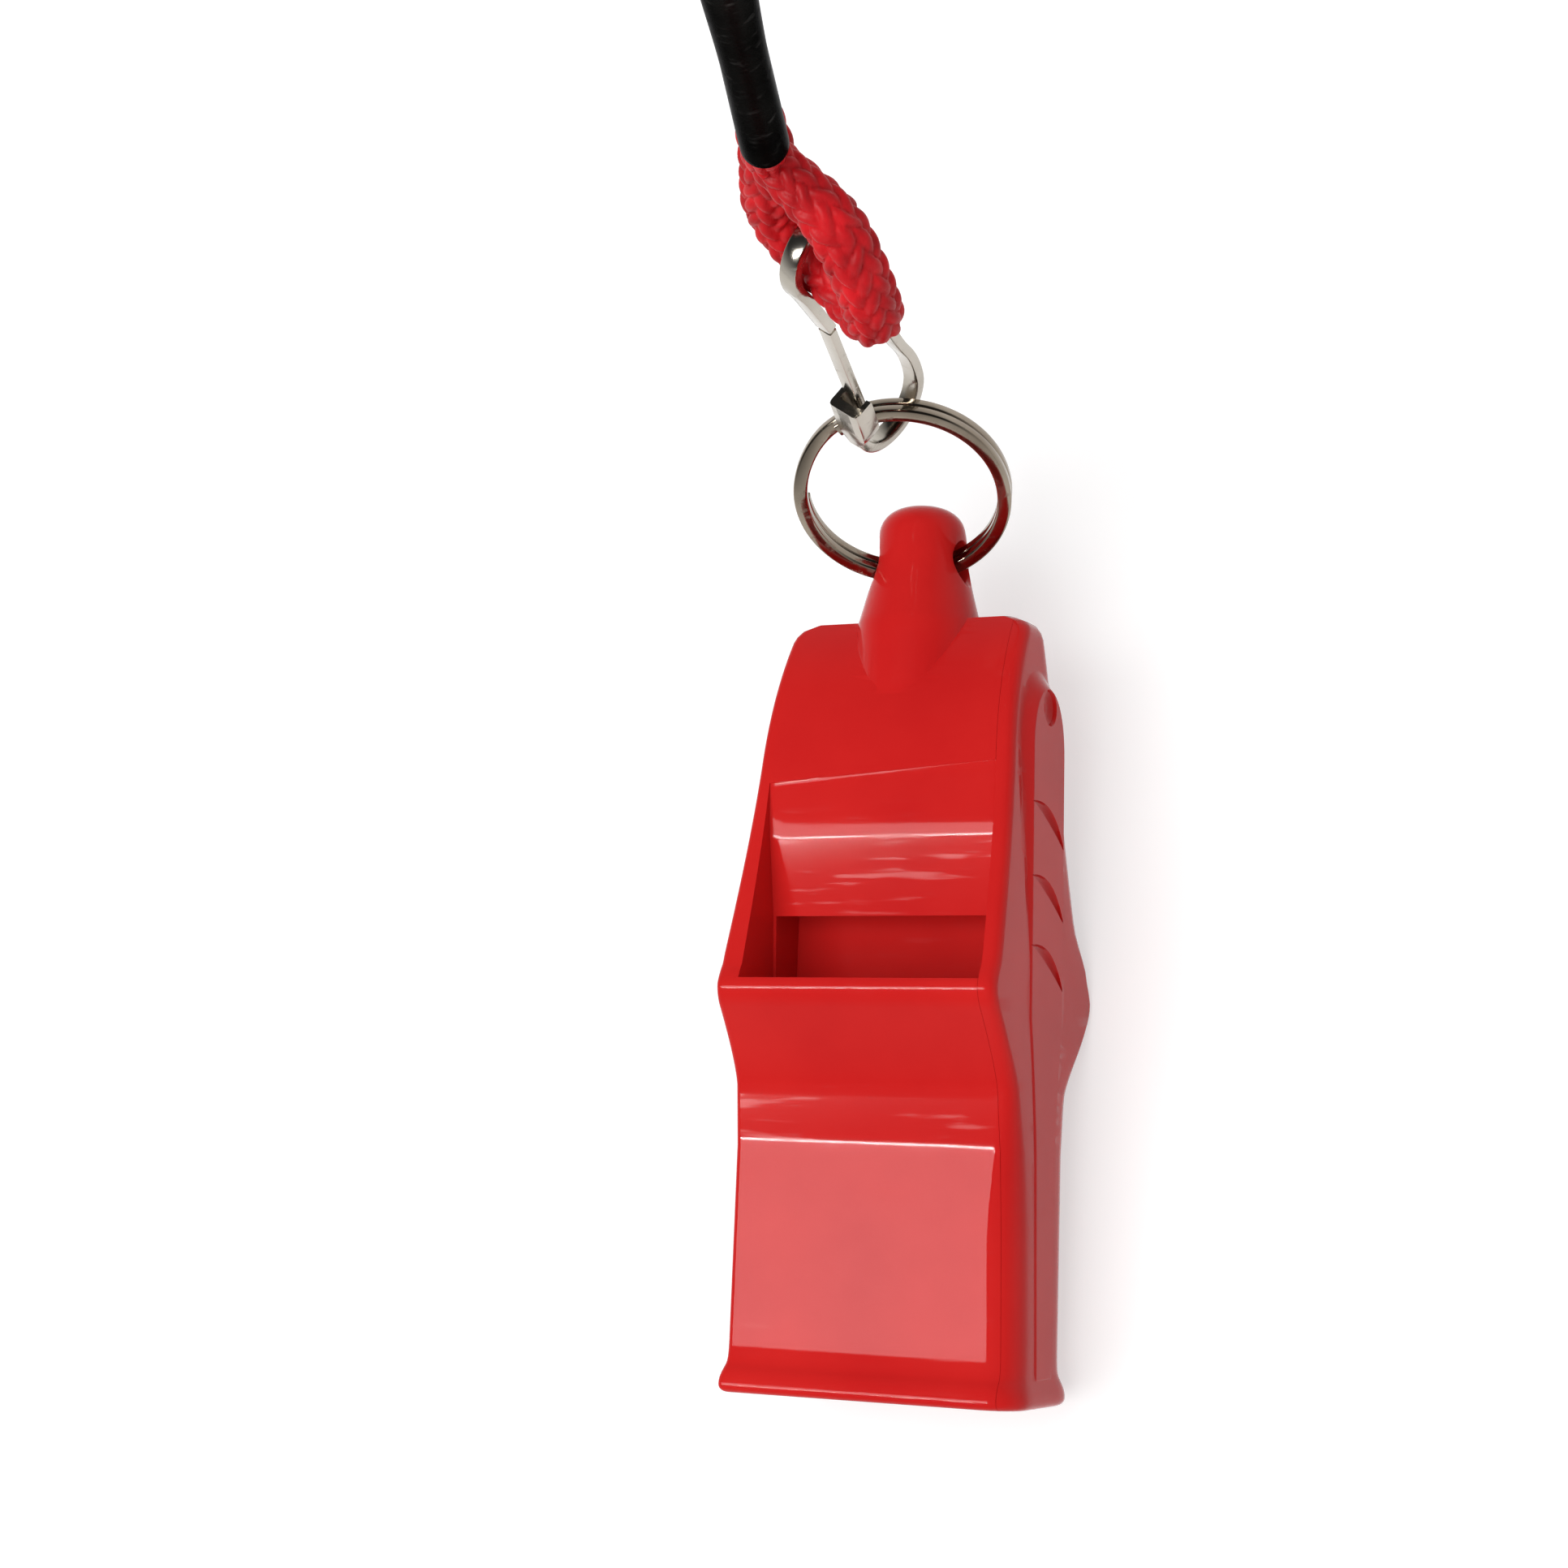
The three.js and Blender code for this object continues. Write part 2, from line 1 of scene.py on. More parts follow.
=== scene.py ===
# %% [markdown]
# # An emergency whistle on its lanyard
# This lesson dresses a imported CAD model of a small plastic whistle, its split ring, its snap hook and its
# braided lanyard. The CAD gives places and sizes. Blender gives rounded edges, braid, and real surfaces.

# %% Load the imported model
import json
import math

import bmesh
import bpy
import numpy as np
from mathutils import Matrix, Vector

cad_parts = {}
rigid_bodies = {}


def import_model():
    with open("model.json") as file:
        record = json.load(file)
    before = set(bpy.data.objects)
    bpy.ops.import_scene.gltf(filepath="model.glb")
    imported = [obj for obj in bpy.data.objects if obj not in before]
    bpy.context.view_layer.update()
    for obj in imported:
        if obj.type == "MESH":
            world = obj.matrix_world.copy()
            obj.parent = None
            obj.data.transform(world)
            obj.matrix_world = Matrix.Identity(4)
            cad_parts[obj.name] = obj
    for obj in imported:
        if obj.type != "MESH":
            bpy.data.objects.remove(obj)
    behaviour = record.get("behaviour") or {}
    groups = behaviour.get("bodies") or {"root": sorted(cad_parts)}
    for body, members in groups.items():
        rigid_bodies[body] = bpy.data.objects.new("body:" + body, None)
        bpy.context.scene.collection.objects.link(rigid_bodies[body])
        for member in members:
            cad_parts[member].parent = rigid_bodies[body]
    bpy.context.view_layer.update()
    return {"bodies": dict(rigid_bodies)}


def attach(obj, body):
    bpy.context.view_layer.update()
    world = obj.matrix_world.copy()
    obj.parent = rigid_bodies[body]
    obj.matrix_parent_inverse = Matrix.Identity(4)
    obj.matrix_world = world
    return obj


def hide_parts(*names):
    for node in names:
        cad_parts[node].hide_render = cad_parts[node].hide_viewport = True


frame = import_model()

MM = 0.001
bodies = sorted(frame["bodies"])
print("bodies:", bodies)


# %% [markdown]
# ## Where things are
# All sizes are the ones that the CAD uses, in millimetres. The whistle lies on a table with its ring end
# a little up, and the ring, the hook and the cord stand up from it. Each place follows from the one
# before it, so the chain of pieces is worked out once here, as seen from the table, and then moved into
# the row frame, whose origin is where the lanyard is held.

# %% Directions and sizes
def unit(x, y, z):
    return Vector((x, y, z)).normalized()


lie = math.radians(5.3)
ring_lean = unit(0.129, 0.457, 0.88)
ring_axis = unit(0.195, -0.832, 0.52)
ring_to_hook = unit(0.153, 0.549, 0.823)
clip_up = unit(0.2, 0.202, 0.959)
clip_side = unit(0.5, 0.821, -0.276)
cord_across = unit(0.697, -0.717, 0.006)
sleeve_up = unit(0.37, -0.139, 0.919)
sleeve_side = unit(0.221, -0.947, -0.232)
sleeve_flat = sleeve_up.cross(sleeve_side).normalized()
clip_across = clip_side.cross(clip_up).normalized()

eye_height = 54.3
ring_outside = 14.0
wire_wide, wire_high, turn_gap = 0.9, 0.68, 0.06
ring_radius = (ring_outside - wire_wide) / 2
strip_wide, strip_thick = 1.2, 0.7
clip_length, clip_eye_radius, clip_eye_side = 23.4, 2.55, 0.35
clip_foot_side, ring_seat_room = 1.4, 1.15
cord_diameter, cord_gap, cord_seat_drop = 3.4, 0.3, 1.0
sleeve_above_seat, sleeve_aside = 14.0, 1.2
sleeve_long, sleeve_thick, sleeve_wide = 27.5, 2.7, 7.4
lanyard_rise, lanyard_bend = 57.5, 8.0

eye = Vector((0, eye_height * math.cos(lie), eye_height * math.sin(lie)))
ring_middle = eye + ring_lean * ring_radius
hook_point = ring_middle + ring_to_hook * ring_radius
seat_height = strip_thick + ring_seat_room + wire_wide / 2
clip_foot = hook_point - clip_side * clip_foot_side - clip_up * seat_height
clip_eye_height = clip_length - clip_eye_radius - strip_thick / 2
cord_seat = clip_foot + clip_side * clip_eye_side + clip_up * (clip_eye_height - cord_seat_drop)
sleeve_foot = cord_seat + clip_up * sleeve_above_seat - clip_across * sleeve_aside
sleeve_top = sleeve_foot + sleeve_up * sleeve_long
strand_side = cord_diameter / 2 + cord_gap / 2
bend_middle = sleeve_top + sleeve_up * lanyard_rise
held_at = bend_middle + sleeve_up * (lanyard_bend - cord_diameter / 2)


def row(p):
    return (p - held_at) * MM


print("eye of the whistle in the row frame, m:", [round(v, 5) for v in row(eye)])


# %% [markdown]
# ## Camera
# The photo looks down on the whistle from the front, a little from the right. The camera's three
# directions come from fitting the CAD's edges to the photo, so they are written as they are, without an
# aim point.

# %% Camera
right = Vector((0.9032, 0.0763, -0.4225)).normalized()
down = Vector((-0.0236, -0.9738, -0.2264)).normalized()
ahead = right.cross(down).normalized()
down = ahead.cross(right)
camera = bpy.data.objects.new("camera", bpy.data.cameras.new("camera"))
turn = Matrix((right, -down, -ahead)).transposed()
camera.matrix_world = Matrix.Translation(row(Vector((74.133, -2.057, 174.81)))) @ turn.to_4x4()
sensor, focal_pixels, photo_pixels = 36, 3611, 1932
camera.data.sensor_width = sensor
camera.data.lens = focal_pixels / photo_pixels * sensor
camera.data.clip_start = 0.005
bpy.context.collection.objects.link(camera)
bpy.context.scene.camera = camera
bpy.context.scene.view_settings.view_transform = "Standard"
print("lens:", round(camera.data.lens, 1), "mm")


# %% [markdown]
# ## Small helpers for meshes
# Most pieces here are lofts: rows of sections with the same number of points, joined by quads. A loft
# keeps the mesh even, so a rounded edge stays smooth, which a plain cut box would not.

# %% Mesh helpers
def mesh_object(name, verts, faces, smooth_below=40):
    mesh = bpy.data.meshes.new(name)
    mesh.from_pydata([tuple(v) for v in verts], [], faces)
    mesh.update()
    thing = bpy.data.objects.new(name, mesh)
    bpy.context.collection.objects.link(thing)
    finish_mesh(thing, smooth_below)
    return thing


def finish_mesh(thing, smooth_below=40):
    bm = bmesh.new()
    bm.from_mesh(thing.data)
    bmesh.ops.recalc_face_normals(bm, faces=bm.faces)
    bm.to_mesh(thing.data)
    bm.free()
    thing.data.polygons.foreach_set("use_smooth", [True] * len(thing.data.polygons))
    thing.data.set_sharp_from_angle(angle=math.radians(smooth_below))


def loft_data(sections, closed=False):
    count = len(sections[0])
    verts = [v for section in sections for v in section]
    faces = []
    rows = len(sections)
    for i in range(rows if closed else rows - 1):
        for j in range(count):
            k = (j + 1) % count
            a, b = i * count, ((i + 1) % rows) * count
            faces.append((a + j, a + k, b + k, b + j))
    if not closed:
        faces.append(tuple(range(count))[::-1])
        faces.append(tuple((rows - 1) * count + j for j in range(count)))
    return verts, faces


def loft(name, sections, closed=False, smooth_below=40):
    return mesh_object(name, *loft_data(sections, closed), smooth_below=smooth_below)


def quadratic(a, b, c, steps):
    return [tuple((1 - t) ** 2 * p + 2 * t * (1 - t) * q + t * t * r for p, q, r in zip(a, b, c))
            for t in np.linspace(0, 1, steps + 1)[1:]]


def cubic(a, b, c, d, steps):
    return [tuple((1 - t) ** 3 * p + 3 * t * (1 - t) ** 2 * q + 3 * t * t * (1 - t) * r + t ** 3 * s
                  for p, q, r, s in zip(a, b, c, d))
            for t in np.linspace(0, 1, steps + 1)[1:]]


def straight(a, b, steps):
    return [tuple(p + (q - p) * t for p, q in zip(a, b)) for t in np.linspace(0, 1, steps + 1)[1:]]


def ease(x, low, high):
    t = min(max((x - low) / (high - low), 0), 1)
    return t * t * (3 - 2 * t)


# %% [markdown]
# ## The cord's route
# The braided cord is doubled. Below the sleeve it makes a small eye through the hook's top loop. Above
# the sleeve its two strands run up and meet in the bend where the lanyard is held, outside the view. Both
# routes repeat the points of the CAD, through a centripetal Catmull-Rom curve, which doesn't overshoot at
# points that lie close together.

# %% Cord routes
def catmull_rom(points, steps_each):
    ends = [points[0] * 2 - points[1]] + points + [points[-1] * 2 - points[-2]]
    line = []
    for p0, p1, p2, p3 in zip(ends, ends[1:], ends[2:], ends[3:]):
        knots = [0.0]
        for a, b in ((p0, p1), (p1, p2), (p2, p3)):
            knots.append(knots[-1] + math.sqrt((b - a).length))
        t0, t1, t2, t3 = knots
        for t in np.linspace(t1, t2, steps_each + 1)[:-1]:
            a1 = p0 * ((t1 - t) / (t1 - t0)) + p1 * ((t - t0) / (t1 - t0))
            a2 = p1 * ((t2 - t) / (t2 - t1)) + p2 * ((t - t1) / (t2 - t1))
            a3 = p2 * ((t3 - t) / (t3 - t2)) + p3 * ((t - t2) / (t3 - t2))
            b1 = a1 * ((t2 - t) / (t2 - t0)) + a2 * ((t - t0) / (t2 - t0))
            b2 = a2 * ((t3 - t) / (t3 - t1)) + a3 * ((t - t1) / (t3 - t1))
            line.append(b1 * ((t2 - t) / (t2 - t1)) + b2 * ((t - t1) / (t2 - t1)))
    line.append(points[-1])
    return line


def even_steps(line, step):
    lengths = np.cumsum([0] + [(b - a).length for a, b in zip(line, line[1:])])
    count = max(int(round(lengths[-1] / step)), 2)
    at = np.linspace(0, lengths[-1], count + 1)
    array = np.array([tuple(p) for p in line])
    columns = [np.interp(at, lengths, array[:, k]) for k in range(3)]
    return [Vector(p) for p in zip(*columns)], float(lengths[-1])


def from_sleeve(base, side, up):
    return base + sleeve_side * side + sleeve_up * up


def from_seat(across, up, side=0.0):
    return cord_seat + cord_across * across + clip_up * up + clip_side * side


inside_sleeve = 0.25
eye_route = [
    from_sleeve(sleeve_foot, strand_side, inside_sleeve - cord_gap),
    from_sleeve(sleeve_foot, strand_side + 0.2, -2.6),
    from_seat(3.3, 7.5), from_seat(5, 3.4), from_seat(4.6, -0.4), from_seat(2.2, -0.15), from_seat(0, 0),
    from_seat(-1.9, 0.5, -0.3), from_seat(-3.1, 3.2, -0.6), from_seat(-2.6, 7.5, -0.1),
    from_sleeve(sleeve_foot, -strand_side - 0.2, -2.6),
    from_sleeve(sleeve_foot, -strand_side, inside_sleeve - cord_gap),
]


def strand(side):
    return [
        from_sleeve(sleeve_top, side * strand_side, cord_gap - inside_sleeve),
        from_sleeve(sleeve_top, side * strand_side, lanyard_rise * 0.2),
        from_sleeve(sleeve_top, side * (strand_side + 1.2), lanyard_rise * 0.5),
        from_sleeve(sleeve_top, side * (lanyard_bend - 1), lanyard_rise * 0.85),
        from_sleeve(bend_middle, side * lanyard_bend, 0),
        from_sleeve(bend_middle, side * lanyard_bend * 0.7, lanyard_bend * 0.7),
    ]


held_route = strand(1) + [from_sleeve(bend_middle, 0, lanyard_bend)] + strand(-1)[::-1]


# %% [markdown]
# ## The braid
# A real cord of this kind is a tubular braid: half of its yarns wind one way, half the other way, and
# each passes over two and under two of the others. A flat tube with a texture looks painted at this
# distance, so the braid is made as relief. Where a yarn lies on top, it makes one grain: a ridge that
# rises and falls along its own path. Close to the sleeve the cord is pressed flat, so the tube is
# squeezed there.

# %% Braided tube
yarns_each_way = 10
yarn_pitch = 13.5
core_share, yarn_share = 0.82, 0.23
press_depth, press_from, press_to = 0.27, 3, 9


def yarn_height(across, along_float, on_top):
    ridge = np.sqrt(np.clip(1 - (2 * (across % 1) - 1) ** 2, 0, 1))
    rise = 0.3 + 0.7 * np.clip(np.sin(math.pi * along_float), 0, 1) ** 0.7
    return ridge * np.where(on_top, rise, 0.2)


def braid_height(angle, along):
    u = yarns_each_way * (angle / (2 * math.pi) + along / yarn_pitch)
    v = yarns_each_way * (angle / (2 * math.pi) - along / yarn_pitch)
    float_u = (np.floor(u) + v) % 4
    float_v = (np.floor(v) + u) % 4
    return np.maximum(yarn_height(u, float_u / 2, float_u < 2),
                      yarn_height(v, float_v / 2 - 1, float_v >= 2))


def braided_tube(name, route, around, step, seed):
    line, length = even_steps(catmull_rom(route, 24), step)
    rng = np.random.default_rng(seed)
    sway = np.interp(np.linspace(0, 1, len(line)), np.linspace(0, 1, 40), rng.normal(0, 1, 40))
    tangents = [(line[min(i + 1, len(line) - 1)] - line[max(i - 1, 0)]).normalized()
                for i in range(len(line))]
    side = tangents[0].orthogonal().normalized()
    angles = np.linspace(0, 2 * math.pi, around, endpoint=False)
    sections = []
    for i, (p, t) in enumerate(zip(line, tangents)):
        side = (side - t * side.dot(t)).normalized()
        other = t.cross(side)
        along = length * i / (len(line) - 1)
        squeeze = press_depth * (1 - ease(min(along, length - along), press_from, press_to))
        height = braid_height(angles + 0.08 * sway[i], along)
        section = []
        for r, a in zip(cord_diameter / 2 * (core_share + yarn_share * height), angles):
            spoke = side * (r * math.cos(a)) + other * (r * math.sin(a))
            section.append(row(p + spoke - sleeve_flat * (squeeze * spoke.dot(sleeve_flat))))
        sections.append(section)
    tube = loft(name, sections, smooth_below=80)
    print(name, "is", round(length, 1), "mm long, with", len(tube.data.vertices), "vertices")
    return tube, [tuple(row(p)) for p in line[::3] + [line[-1]]], length


cord_eye, eye_path, eye_long = braided_tube("cord_eye_braid", eye_route, 80, 0.13, 3)
held_cord, held_path, held_long = braided_tube("lanyard_braid", held_route, 60, 0.2, 5)
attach(cord_eye, "lanyard")
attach(held_cord, "lanyard")
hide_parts("cord_loop")
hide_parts("lanyard_cord")


# %% [markdown]
# ## The crimp sleeve
# The sleeve is a short piece of thin tube, pressed flat over both strands. It is a loft with an oval
# section, whose rim turns inwards at both ends, so that the metal's own thickness shows and the cord goes
# in.

# %% Sleeve
def oval(wide, thick, inset, count=64):
    half = wide / 2 - thick / 2
    points = []
    for k in range(count):
        a = 2 * math.pi * (k + 0.5) / count
        reach = thick / 2 - inset
        points.append((math.copysign(half, math.cos(a)) + reach * math.cos(a), reach * math.sin(a)))
    return points


def sleeve_rows():
    rim, pressed = 0.16, 0.12
    rows = [(0.9, 0.42), (0.3, 0.4), (0.06, 0.3), (0, rim), (0.05, 0.05), (0.2, 0.01)]
    body = [(z, 0.01 + pressed * math.sin(math.pi * z / sleeve_long) ** 2)
            for z in np.linspace(0.8, sleeve_long - 0.8, 25)]
    return rows + body + [(sleeve_long - z, inset) for z, inset in rows[::-1]]


def sleeve_piece():
    sections = [[row(sleeve_foot + sleeve_up * z + sleeve_side * x + sleeve_flat * y)
                 for x, y in oval(sleeve_wide, sleeve_thick, inset)] for z, inset in sleeve_rows()]
    return loft("crimp_sleeve", sections, smooth_below=60)


sleeve = sleeve_piece()
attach(sleeve, "lanyard")
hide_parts("cord_sleeve")

print("cord: eye", round(eye_long, 1), "mm, lanyard", round(held_long, 1), "mm")


# %% [markdown]
# ## The split ring
# One flat wire is wound twice, and it jumps from one turn to the other at its ends. The section is a
# small rectangle with rolled corners, swept along that path, so the groove between the turns is real.

# %% Split ring
def own_frame(x_axis, y_axis):
    z_axis = x_axis.cross(y_axis).normalized()
    return y_axis.cross(z_axis).normalized(), y_axis, z_axis


def rounded_box(wide, high, corner, arc=3):
    points = []
    for sx, sy, start in ((1, 1, 0), (-1, 1, 90), (-1, -1, 180), (1, -1, 270)):
        for k in range(arc + 1):
            a = math.radians(start + 90 * k / arc)
            points.append((sx * (wide / 2 - corner) + corner * math.cos(a),
                           sy * (high / 2 - corner) + corner * math.sin(a)))
    return points


def ring_piece():
    jog, end_gap, ends_at = math.radians(25), math.radians(30), math.radians(150)
    x, y, z = own_frame(ring_to_hook.cross(ring_axis), ring_to_hook)
    steps, wire_corner = 260, 0.14
    sections = []
    for i in range(steps + 1):
        angle = end_gap + (4 * math.pi - 2 * end_gap) * i / steps
        t = min(max((angle - 2 * math.pi + jog) / (2 * jog), 0), 1)
        climb = (wire_high + turn_gap) * (t * t * (3 - 2 * t) - 0.5)
        a = angle + ends_at
        spoke = x * math.cos(a) + y * math.sin(a)
        sections.append([row(ring_middle + spoke * (ring_radius + r) + z * (climb + h))
                         for r, h in rounded_box(wire_wide, wire_high, wire_corner)])
    return loft("split_ring_wire", sections, smooth_below=50)


split_ring = ring_piece()
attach(split_ring, "ring")
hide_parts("split_ring")
print("split ring:", len(split_ring.data.vertices), "vertices")


# %% [markdown]
# ## The snap hook
# The hook is one flat strip. From the trough at its end it bends round the hook, runs up the back, turns
# over in the top loop and comes down as the springy gate, whose tip rests in the trough. Its edges are
# cut, so they get a tiny rounding and nothing more. The gate is its own piece, because it moves.

# %% Snap hook
clip_x, clip_y, clip_z = own_frame(clip_side, clip_up)
half_strip = strip_thick / 2
hook_middle, hook_radius, hook_end, kink = 1.3, 3.2, 6.6, (-0.9, 14.8)
hook_line = hook_radius - half_strip
trough_side = hook_middle - hook_line


def on_clip(u, v, w=0.0):
    return row(clip_foot + clip_x * u + clip_y * v + clip_z * w)


def arc(cx, cy, radius, start, end, steps):
    return [(cx + radius * math.cos(a), cy + radius * math.sin(a))
            for a in np.linspace(start, end, steps + 1)]


def hook_centre_line():
    far = hook_middle + hook_line
    line = [(trough_side, hook_end - 0.05)] + straight((trough_side, hook_end - 0.05),
                                                      (trough_side, hook_radius), 6)[:-1]
    line += arc(hook_middle, hook_radius, hook_line, math.pi, 2 * math.pi, 28)
    knee = (far - 0.6, hook_radius + 3.8)
    line += quadratic((far, hook_radius), (far + 0.1, hook_radius + 2.2), knee, 8)
    shoulder = (clip_eye_side + 1.9, kink[1] - 0.4)
    line += straight(knee, shoulder, 10)
    top = (clip_eye_side + clip_eye_radius, clip_eye_height - 1.2)
    line += quadratic(shoulder, (top[0] - 0.4, kink[1] + 1.4), top, 8)
    line += arc(clip_eye_side, clip_eye_height, clip_eye_radius, 0, 1.17 * math.pi, 26)
    line += straight(line[-1], kink, 8)
    return smooth_line(line)


def smooth_line(line, rounds=2):
    points = np.array(line)
    for _ in range(rounds):
        points[1:-1] = 0.5 * points[1:-1] + 0.25 * (points[:-2] + points[2:])
    return [tuple(p) for p in points]


def strip_sections(line, wide, thick, corner=0.1):
    sections = []
    for i, (u, v) in enumerate(line):
        before, after = line[max(i - 1, 0)], line[min(i + 1, len(line) - 1)]
        du, dv = after[0] - before[0], after[1] - before[1]
        size = math.hypot(du, dv)
        nu, nv = -dv / size, du / size
        sections.append([on_clip(u + nu * b, v + nv * b, a)
                         for a, b in rounded_box(wide, thick, corner, arc=2)])
    return sections


def trough_piece():
    outside = trough_side - half_strip
    low = hook_radius - 0.4
    sections = []
    for v, deep, wide in ((low, 0.75, 1.3), (low + 0.4, 1.0, 1.8), (low + 0.9, 1.45, 2.25),
                          (low + 1.4, 1.5, 2.3), (hook_end - 0.1, 1.5, 2.3), (hook_end, 1.46, 2.26)):
        wall = 0.35
        half = wide / 2
        ring = [(outside, -half + 0.3), (outside + 0.08, -half + 0.08), (outside + 0.3, -half),
                (outside + deep, -half), (outside + deep, -half + wall), (outside + 0.75, -half + wall),
                (outside + 0.68, -half + wall + 0.15), (outside + 0.68, half - wall - 0.15),
                (outside + 0.75, half - wall), (outside + deep, half - wall), (outside + deep, half),
                (outside + 0.3, half), (outside + 0.08, half - 0.08), (outside, half - 0.3)]
        sections.append([on_clip(u, v, w) for u, w in ring])
    return loft("hook_trough", sections, smooth_below=30)


def gate_piece():
    gate_wide, kink_room, tip_room, tip_height = 1.0, 0.4, 0.3, 3.7
    tip = (trough_side + strip_thick + tip_room, tip_height)
    reach = math.dist(kink, tip)
    start = tuple(k + (t - k) * kink_room / reach for k, t in zip(kink, tip))
    line = [start] + straight(start, tip, 12)
    return loft("hook_gate", strip_sections(line, gate_wide, strip_thick - 0.1), smooth_below=40)


hook_strip = loft("hook_strip", strip_sections(hook_centre_line(), strip_wide, strip_thick))
hook_trough = trough_piece()
hook_gate = gate_piece()
for piece in (hook_strip, hook_trough):
    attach(piece, "clip")
    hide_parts("clip_frame")
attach(hook_gate, "gate")
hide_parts("clip_gate")
print("snap hook: strip, trough and gate made")


# %% [markdown]
# ## The whistle's outline
# The moulding is drawn once as a side outline, from the bite lip over the mouthpiece and the lips to the
# top of the barrel, and once as a width that changes along it. Each section between them is a rectangle
# with rounded corners. Lofting those sections gives the soft corners that moulded plastic has.

# %% Whistle outlines
top_half_width, waist_half_width, bottom_half_width = 8.2, 9.4, 9.85
waist_height, barrel_top, top_half_depth = 28.0, 50.3, 1.2
barrel_half_depth, barrel_shoulder = 5.1, 41.0
lip_height, lip_half_depth, lip_thickness = 26.4, 9.0, 2.0
crease_height, crease_half_depth, mouth_half_depth = 16.0, 4.9, 4.6
bite_height, bite_half_depth, bite_half_width = 1.5, 5.2, 10.15
cover_edge, seam_line = 1.1, 0.02


def half_width(z):
    if z < waist_height:
        return bottom_half_width + (waist_half_width - bottom_half_width) * z / waist_height
    share = (z - waist_height) / (barrel_top - waist_height)
    return waist_half_width + (top_half_width - waist_half_width) * share


def side_profile():
    deep = [(bite_half_depth - 0.55, 0.4)]
    deep += quadratic(deep[-1], (bite_half_depth, 0.42), (bite_half_depth, 0.9), 6)
    deep += quadratic(deep[-1], (bite_half_depth, bite_height),
                      (mouth_half_depth + 0.3, bite_height + 0.5), 6)
    deep += quadratic(deep[-1], (mouth_half_depth - 0.02, bite_height + 0.9),
                      (mouth_half_depth, bite_height + 2.2), 6)
    deep += straight(deep[-1], (crease_half_depth, crease_height), 16)
    deep += straight(deep[-1], (crease_half_depth + 0.5, crease_height + 3.8), 6)
    deep += quadratic(deep[-1], (crease_half_depth + 0.9, crease_height + 5.2),
                      (lip_half_depth - 0.7, lip_height - lip_thickness), 10)
    deep += quadratic(deep[-1], (lip_half_depth, lip_height - 1.2), (lip_half_depth, lip_height - 0.4), 8)
    deep += quadratic(deep[-1], (lip_half_depth - 0.1, lip_height + 0.1),
                      (lip_half_depth - 0.6, lip_height + 0.9), 5)
    deep += cubic(deep[-1], (lip_half_depth - 2, lip_height + 5.5),
                  (barrel_half_depth + 0.6, barrel_shoulder - 4.5),
                  (barrel_half_depth, barrel_shoulder), 18)
    deep += quadratic(deep[-1], (barrel_half_depth - 0.8, barrel_top - 4.1),
                      (top_half_depth, barrel_top), 20)
    return deep


def outer_width(z):
    rise = bite_height + 1.1
    if z >= rise:
        wide = half_width(z)
    else:
        swell = 1 - ease(z, bite_height - 0.5, rise)
        wide = half_width(rise) + (bite_half_width - half_width(rise)) * swell
    if z < 0.9:
        wide -= 0.5 * (1 - math.sqrt(max(1 - ((0.9 - z) / 0.5) ** 2, 0)))
    round_top = 1.3
    over = z - (barrel_top - round_top)
    if over > 0:
        wide -= round_top * (1 - math.sqrt(max(1 - (over / round_top) ** 2, 0)))
    return wide


def block_section(x_left, x_right, deep, r_left, r_front, r_back, z, arc_steps=6, flat_steps=7):
    corners = ((x_right, deep, r_back, 0), (x_left, deep, r_left, 90),
               (x_left, -deep, r_left, 180), (x_right, -deep, r_front, 270))
    points = []
    for x, y, r, start in corners:
        r = min(r, abs(y) * 0.6)
        cx, cy = x - math.copysign(r, 1 if start in (0, 270) else -1), y - math.copysign(r, y)
        if points:
            points += [(px, py, z) for px, py in straight(points[-1][:2], first_of(cx, cy, r, start),
                                                          flat_steps)[:-1]]
        points += [(cx + r * math.cos(math.radians(start + 90 * k / arc_steps)),
                    cy + r * math.sin(math.radians(start + 90 * k / arc_steps)), z)
                   for k in range(arc_steps + 1)]
    points += [(px, py, z) for px, py in straight(points[-1][:2], points[0][:2], flat_steps)[:-1]]
    return points


def first_of(cx, cy, r, start):
    a = math.radians(start)
    return cx + r * math.cos(a), cy + r * math.sin(a)


outline = side_profile()
print("side outline:", len(outline), "stations, length", barrel_top, "mm without the eye")


# %% [markdown]
# ## Cutting the chambers, windows and wind ways
# The hollow parts are cut with booleans. Each cutter is a simple prism across the width, drawn in the
# same side view. The window's top edge slants a little, as in the photo, so its two ends get different
# heights.

# %% Cutters
middle_wall, left_wall, barrel_wall = 1.2, 1.0, 1.3
windway_gap, windway_inner, windway_exit = 1.3, 2.6, 3.4
window_left = -7.9
labium_height, labium_half_depth = 30.7, 4.05
ramp_height, ramp_half_depth = 35.9, 5.05


def prism(name, left_points, right_points, x0, x1, steps=1):
    sections = []
    for t in np.linspace(0, 1, steps + 1):
        sections.append([(x0 + (x1 - x0) * t, y0 + (y1 - y0) * t, z0 + (z1 - z0) * t)
                         for (y0, z0), (y1, z1) in zip(left_points, right_points)])
    return mesh_object(name, *loft_data(sections))


def mirrored(points):
    return [(-y, z) for y, z in points][::-1]


